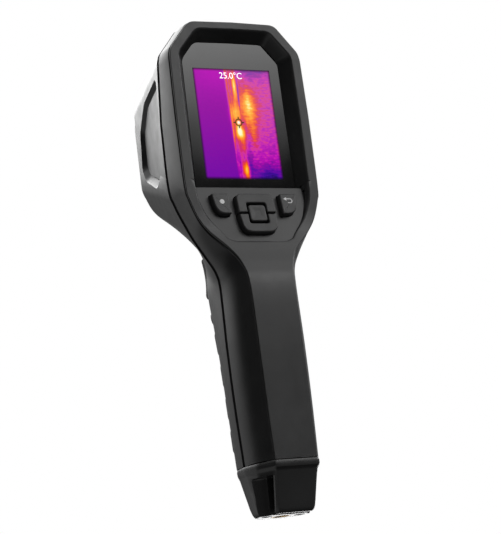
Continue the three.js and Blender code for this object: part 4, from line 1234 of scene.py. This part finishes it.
piece(front_shell(), "front_shell_moulding", "case", "front_shell")
piece(grip_pad(), "grip_pad_inlay", "elastomer", "grip_pad")
piece(side_panel(), "side_panel_right_inlay", "case", "side_panel_right")
piece(mirror_x(side_panel()), "side_panel_left_inlay", "case", "side_panel_left")
piece(nose_ring(), "nose_ring_moulding", "case", "nose_ring")
piece(nose_window(), "nose_window_glass", "gloss_black", "nose_window")
piece(lens("infrared", 6.6, 66, 69, 1.0), "infrared_lens_glass", "germanium", "infrared_lens")
piece(lens("worklight", 4.4, 66, 69.6, 0.8), "worklight_lens_dome", "clear_lens", "worklight_lens")
piece(lens("camera", 3.4, 66.4, 69.6, 0.4), "camera_lens_glass", "gloss_black", "camera_lens")
piece(lens("laser", 2.3, 66.4, 69.6, 0.1), "laser_lens_glass", "clear_lens", "laser_lens")
rim = [(8.2, 52), (8.2, 71.6), (7.95, 71.95), (7.6, 72), (7.25, 71.9), (7, 71.6)]
barrel = cut(turned(rim, (0, 0, 171)), rod(7, 30, (0, 62, 171)))
piece(barrel, "infrared_barrel_tube", "inner_plastic", "infrared_barrel")
piece(port_flap(), "port_flap_leaf", "elastomer", "port_flap", body="flap_body")
piece(trigger(), "trigger_pull", "elastomer", "trigger", body="trigger_body")

SPRING_R, SPRING_WIRE, SPRING_TURNS = 2.2, 0.4, 5
SPRING_Y0, SPRING_LENGTH, SPRING_Z = 21.1, 8.0, 108.0


def trigger_spring(steps=24, sides=10):
    """An open coil along Y, with a round wire."""
    loops = []
    count = SPRING_TURNS * steps
    rise = SPRING_LENGTH / SPRING_TURNS / (2 * math.pi * SPRING_R)
    for i in range(count + 1):
        a = 2 * math.pi * i / steps
        out = Vector((math.cos(a), 0, math.sin(a)))
        middle = out * SPRING_R + Vector((0, SPRING_Y0 + SPRING_LENGTH * i / count, SPRING_Z))
        along = Vector((-math.sin(a), rise, math.cos(a))).normalized()
        side = along.cross(out)
        turn = [2 * math.pi * k / sides for k in range(sides)]
        loops.append([middle + (out * math.cos(t) + side * math.sin(t)) * SPRING_WIRE for t in turn])
    return rings(loops)


spring = piece(trigger_spring(), "trigger_coil", "steel", "trigger_spring")
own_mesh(spring)

# ------------------------------------------------------------------ foot
# Height, rear Y, front Y, and half widths at the rear, the middle and the front.
FOOT = [
    (GRIP_BOTTOM - 0.35, BACK_Y - 0.2, 28.8, 9.9, 15.35, 6.4),
    (GRIP_BOTTOM - 0.5, BACK_Y - 0.3, 28.9, 10, 15.45, 6.45),
    (19.8, BACK_Y - 0.4, 29, 10.2, 15.6, 6.6),
    (18.6, BACK_Y - 0.4, 28.8, 10.2, 15.6, 6.6),
    (17.9, BACK_Y - 0.2, 28.6, 10.05, 15.45, 6.5),
    (17.2, -5.75, 28.2, 9.75, 15.15, 6.35),
    (16.4, -5.4, 27.9, 9.6, 14.85, 6.25),
    (12, -4.0, 26.6, 9.4, 14.0, 6.15),
    (8, -2.8, 25.4, 9.2, 13.2, 6),
    (4, -1.7, 23.8, 8.9, 12.7, 5.9),
    (1.9, -1.1, 22.6, 8.6, 12.3, 5.8),
    (0.9, -0.75, 21.9, 8.25, 11.95, 5.65),
    (0.25, -0.3, 21.2, 7.75, 11.45, 5.45),
    (0, 0.2, 20.6, 7.2, 10.9, 5.2),
]
SCREWS = [(-7.6, 11.2), (7.6, 11.2)]
TRIPOD_Y, TRIPOD_R, INSERT_R, TRIPOD_DEPTH = 13.4, 3.1, 3.9, 8
PIN_R, PIN_Z, PIN_Y0, PIN_Y1 = 1.3, 5.2, -0.4, 8.6


def foot_ring(z, rear, front, at_rear, at_middle, at_front):
    middle = rear + (front - rear) * 0.46
    half = [
        (0, rear), (at_rear, rear), (mix(at_rear, at_middle, 0.75), mix(rear, middle, 0.5)),
        (at_middle, middle), (mix(at_front, at_middle, 0.8), mix(middle, front, 0.55)),
        (mix(at_front, at_middle, 0.3), mix(middle, front, 0.88)), (at_front * 0.6, front), (0, front),
    ]
    smooth = through([Vector(q) for q in half[3:]], 6)
    return flat_z(both(round_open(half[:4], 1.3, 5)[:-1] + smooth), z)


SLOT_TOP, SLOT_REAR, SLOT_FRONT, SLOT_LEAN = 15.2, -3.2, 3.4, 2.8


def strap_slot():
    """A slot right through behind the foot's rear flange, open below."""
    rear, front, lean = SLOT_REAR, SLOT_FRONT, SLOT_LEAN
    outline = [
        (rear, SLOT_TOP), (front, SLOT_TOP), (front + lean, 0), (front + lean, -5), (2.8, -5), (1.4, 0),
    ]
    return across_x(round_closed(outline, 0.9, 4), 40)


def strap_mouth():
    """The hollow on the right side that leads the strap into the slot."""
    loops = []
    for z in (-3, 0, 5, 10, SLOT_TOP - 0.9, SLOT_TOP - 0.25, SLOT_TOP):
        lean = SLOT_LEAN * (SLOT_TOP - z) / SLOT_TOP
        flange = 9.75 - 0.06 * (SLOT_TOP - z)
        near, far = SLOT_FRONT + lean, SLOT_FRONT + 4.4 + lean
        small = 0.9 - math.sqrt(max(0.0, 0.81 - max(0.0, z - SLOT_TOP + 0.9) ** 2))
        curve = arc((flange - 0.4, near), (flange + 0.6, far - 1.2), (14.4, far))
        corners = [(flange, -12), (flange, near - 2.5), (flange - 0.4, near - 1)]
        outline = [*corners, *curve, (20, far), (20, -12)]
        inside = flange - 0.4 + small
        loops.append(flat_z([(max(x, inside), y - small if y > 0 else y) for x, y in outline], z))
    return rings(loops)


def foot():
    body = rings([foot_ring(*s) for s in FOOT])
    cut(body, strap_slot(), strap_mouth(), mirror_x(strap_mouth()))
    cut(body, rod(INSERT_R + 0.3, TRIPOD_DEPTH + 0.6, (0, TRIPOD_Y, TRIPOD_DEPTH / 2), "Z"))
    cut(body, rod(PIN_R + 0.3, PIN_Y1 - PIN_Y0 + 0.6, (0, (PIN_Y0 + PIN_Y1) / 2, PIN_Z)))
    for x, y in SCREWS:
        cut(body, rod(1.4, 60, (x, y, 10), "Z"), rod(2.3, 20, (x, y, -6), "Z"))
    return body


SHARP = 50  # least angle in degrees between the faces of an edge that soften() rounds


def soften(obj, width, where):
    """Rounds the sharp edges whose middles pass a test."""
    bm = bmesh.new()
    bm.from_mesh(obj.data)
    bmesh.ops.remove_doubles(bm, verts=bm.verts, dist=1e-3)
    bmesh.ops.dissolve_limit(bm, angle_limit=math.radians(0.5), verts=bm.verts, edges=bm.edges)
    chosen = []
    for e in bm.edges:
        sharp = len(e.link_faces) == 2 and e.calc_face_angle(0) > math.radians(SHARP)
        if sharp and where((e.verts[0].co + e.verts[1].co) / 2):
            chosen.append(e)
    bmesh.ops.bevel(
        bm, geom=chosen, offset=width, segments=4, profile=0.5, affect="EDGES", clamp_overlap=True)
    bm.to_mesh(obj.data)
    bm.free()
    return obj


def slot_edge(p):
    return abs(p.x) > 6 and p.z < 16 and p.y < 8


piece(soften(foot(), 0.7, slot_edge), "foot_moulding", "case", "foot")
pin_mid = (0, (PIN_Y0 + PIN_Y1) / 2, PIN_Z)
piece(rod(PIN_R, PIN_Y1 - PIN_Y0, pin_mid, bevel=0.2), "strap_pin_rod", "steel", "strap_pin")


def tripod_insert():
    ring = [
        (TRIPOD_R, 0.4), (TRIPOD_R + 0.4, 0.0), (INSERT_R - 0.2, 0.0), (INSERT_R, 0.2),
        (INSERT_R, TRIPOD_DEPTH), (TRIPOD_R, TRIPOD_DEPTH),
    ]
    for k in range(11, 1, -1):
        z = k * 0.68
        ring += [(TRIPOD_R, z + 0.2), (TRIPOD_R + 0.35, z), (TRIPOD_R, z - 0.2)]
    return rings([flat_z(circle(r, 0, TRIPOD_Y, 48), z) for r, z in ring], closed=True)


piece(tripod_insert(), "tripod_insert_bush", "brass", "tripod_insert")

# ------------------------------------------------------------------ CAD nodes that stay
KEPT = {
    "lcd_bracket": STEEL, "key_mat": RUBBER, "key_board": BOARD, "infrared_sensor": STEEL,
    "worklight_emitter": BOARD, "camera_module": INNER, "laser_module": BRASS, "flap_pin": STEEL,
    "port_tray": INNER, "thermocouple_socket": SOCKET, "usb_socket": STEEL, "trigger_switch": INNER,
    "main_board": BOARD, "battery_carrier": INNER, "battery_cell": CELL, "end_plate": INNER,
    "foot_screw_left": STEEL, "foot_screw_right": STEEL,
}
for name, material in KEPT.items():
    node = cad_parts[name]
    node.data.materials.clear()
    node.data.materials.append(material)

# ------------------------------------------------------------------ stage, light and camera
def stage_material(name, colour, glow=0.0, one_sided=False):
    material, g = blank(name)
    out = material.node_tree.nodes["Material Output"]
    if glow:
        emission = g.node("ShaderNodeEmission")
        emission.inputs[0].default_value = (*colour, 1)
        emission.inputs[1].default_value = glow
        g.put(out.inputs[0], emission.outputs[0])
        return material
    g.set("Base Color", (*colour, 1))
    g.set("Roughness", 0.9)
    if one_sided:
        blend = g.node("ShaderNodeMixShader")
        g.put(blend.inputs[0], g.node("ShaderNodeNewGeometry").outputs["Backfacing"])
        g.put(blend.inputs[1], g.bsdf.outputs[0])
        g.put(blend.inputs[2], g.node("ShaderNodeBsdfTransparent").outputs[0])
        g.put(out.inputs[0], blend.outputs[0])
    return material


def staged(name, mesh, material):
    obj = linked(name, mesh)
    mesh.materials.append(material)
    for ray in ("diffuse", "glossy", "transmission", "volume_scatter", "shadow"):
        setattr(obj, f"visible_{ray}", False)
    return obj


floor_mesh = bpy.data.meshes.new("floor")
FLOOR, FLOOR_Z = 2.4, -0.0004
floor_mesh.from_pydata([(a * FLOOR, b * FLOOR, FLOOR_Z) for a, b in CORNERS], [], [(0, 1, 2, 3)])
staged("floor", floor_mesh, stage_material("floor", (0.86, 0.86, 0.86), one_sided=True))
dome_mesh = bpy.data.meshes.new("backdrop")
bm = bmesh.new()
bmesh.ops.create_icosphere(bm, subdivisions=4, radius=6.0)
bm.to_mesh(dome_mesh)
bm.free()
staged("backdrop", dome_mesh, stage_material("backdrop", (1, 1, 1), glow=1.0))

world = bpy.data.worlds.new("studio")
bpy.context.scene.world = world
world.use_nodes = True
g = Graph(world.node_tree)
way = g.node("ShaderNodeSeparateXYZ")
g.put(way.inputs[0], g.node("ShaderNodeTexCoord").outputs["Generated"])
x, y, z = way.outputs
BRIGHTEST = 5.0


def by_height(stops):
    """Brightness against the sine of the elevation."""
    scaled = [((at + 1) / 2, (b / BRIGHTEST,) * 3) for at, b in stops]
    return g.ramp(g.map(z, -1, 1, 0, 1), scaled, True)


ahead = by_height([
    (-1, 0.03), (-0.6, 0.04), (-0.45, 0.22), (-0.2, 0.16), (0.0, 0.06), (0.1, 0.09), (0.2, 0.1),
    (0.262, 0.12), (0.288, 1.35), (0.31, 3.2), (0.335, 4.8), (0.37, 3.6), (0.46, 2.2), (0.6, 1.3),
    (1, 1.0),
])
behind = by_height([
    (-1, 0.03), (-0.25, 0.05), (0.0, 0.15), (0.2, 0.22), (0.25, 0.4), (0.288, 1.2), (0.31, 3.0),
    (0.34, 4.6), (1, 1.5),
])
beside = by_height([
    (-1, 0.2), (-0.3, 0.5), (-0.05, 0.6), (0.1, 0.33), (0.2, 0.38), (0.25, 1.0), (0.31, 2.2),
    (0.4, 3.0), (1, 1.5),
])
below = by_height([
    (-1, 0.03), (-0.35, 0.3), (-0.2, 4.4), (-0.08, 4.4), (-0.02, 0.5), (0.15, 0.3), (0.3, 0.9),
    (1, 1.5),
])
left = by_height([(-1, 0.5), (-0.55, 0.45), (-0.3, 0.03), (0.3, 0.03), (0.6, 0.25), (1, 1.0)])
glow = g.mixed(g.map(x, -0.45, 0.15, 0, 1, True), left, ahead)
back_glow = g.mixed(g.map(x, -0.4, -0.1, 0, 1, True), beside, behind)
back_glow = g.mixed(g.map(x, 0.25, 0.42, 0, 1, True), back_glow, below)
glow = g.mixed(g.map(y, 0.3, 0.88, 0, 1, True), glow, back_glow)
glow = g.mul(glow, BRIGHTEST)
background = world.node_tree.nodes["Background"]
background.inputs[0].default_value = (1, 1, 1, 1)
g.put(background.inputs[1], glow)

TARGET = Vector((0, -22.44, 104.81)) / 1000
DISTANCE = 0.81327
AZIMUTH, ELEVATION, ROLL = (math.radians(angle) for angle in (-28.27, -12.61, 7.41))
LENS_MM = 130.76

level_out = math.cos(ELEVATION)
back = Vector((
    math.sin(AZIMUTH) * level_out, -math.cos(AZIMUTH) * level_out, math.sin(ELEVATION)))
right = Vector((math.cos(AZIMUTH), math.sin(AZIMUTH), 0))
up = back.cross(right)
right_rolled = right * math.cos(ROLL) - up * math.sin(ROLL)
up_rolled = right * math.sin(ROLL) + up * math.cos(ROLL)
camera_data = bpy.data.cameras.new("camera")
camera_data.lens = LENS_MM
camera_data.sensor_width = 36
camera_data.sensor_fit = "AUTO"
camera = linked("camera", camera_data)
turned_to = Matrix((right_rolled, up_rolled, back)).transposed()
camera.matrix_world = Matrix.Translation(TARGET + back * DISTANCE) @ turned_to.to_4x4()
bpy.context.scene.camera = camera
bpy.context.scene.view_settings.view_transform = "Standard"
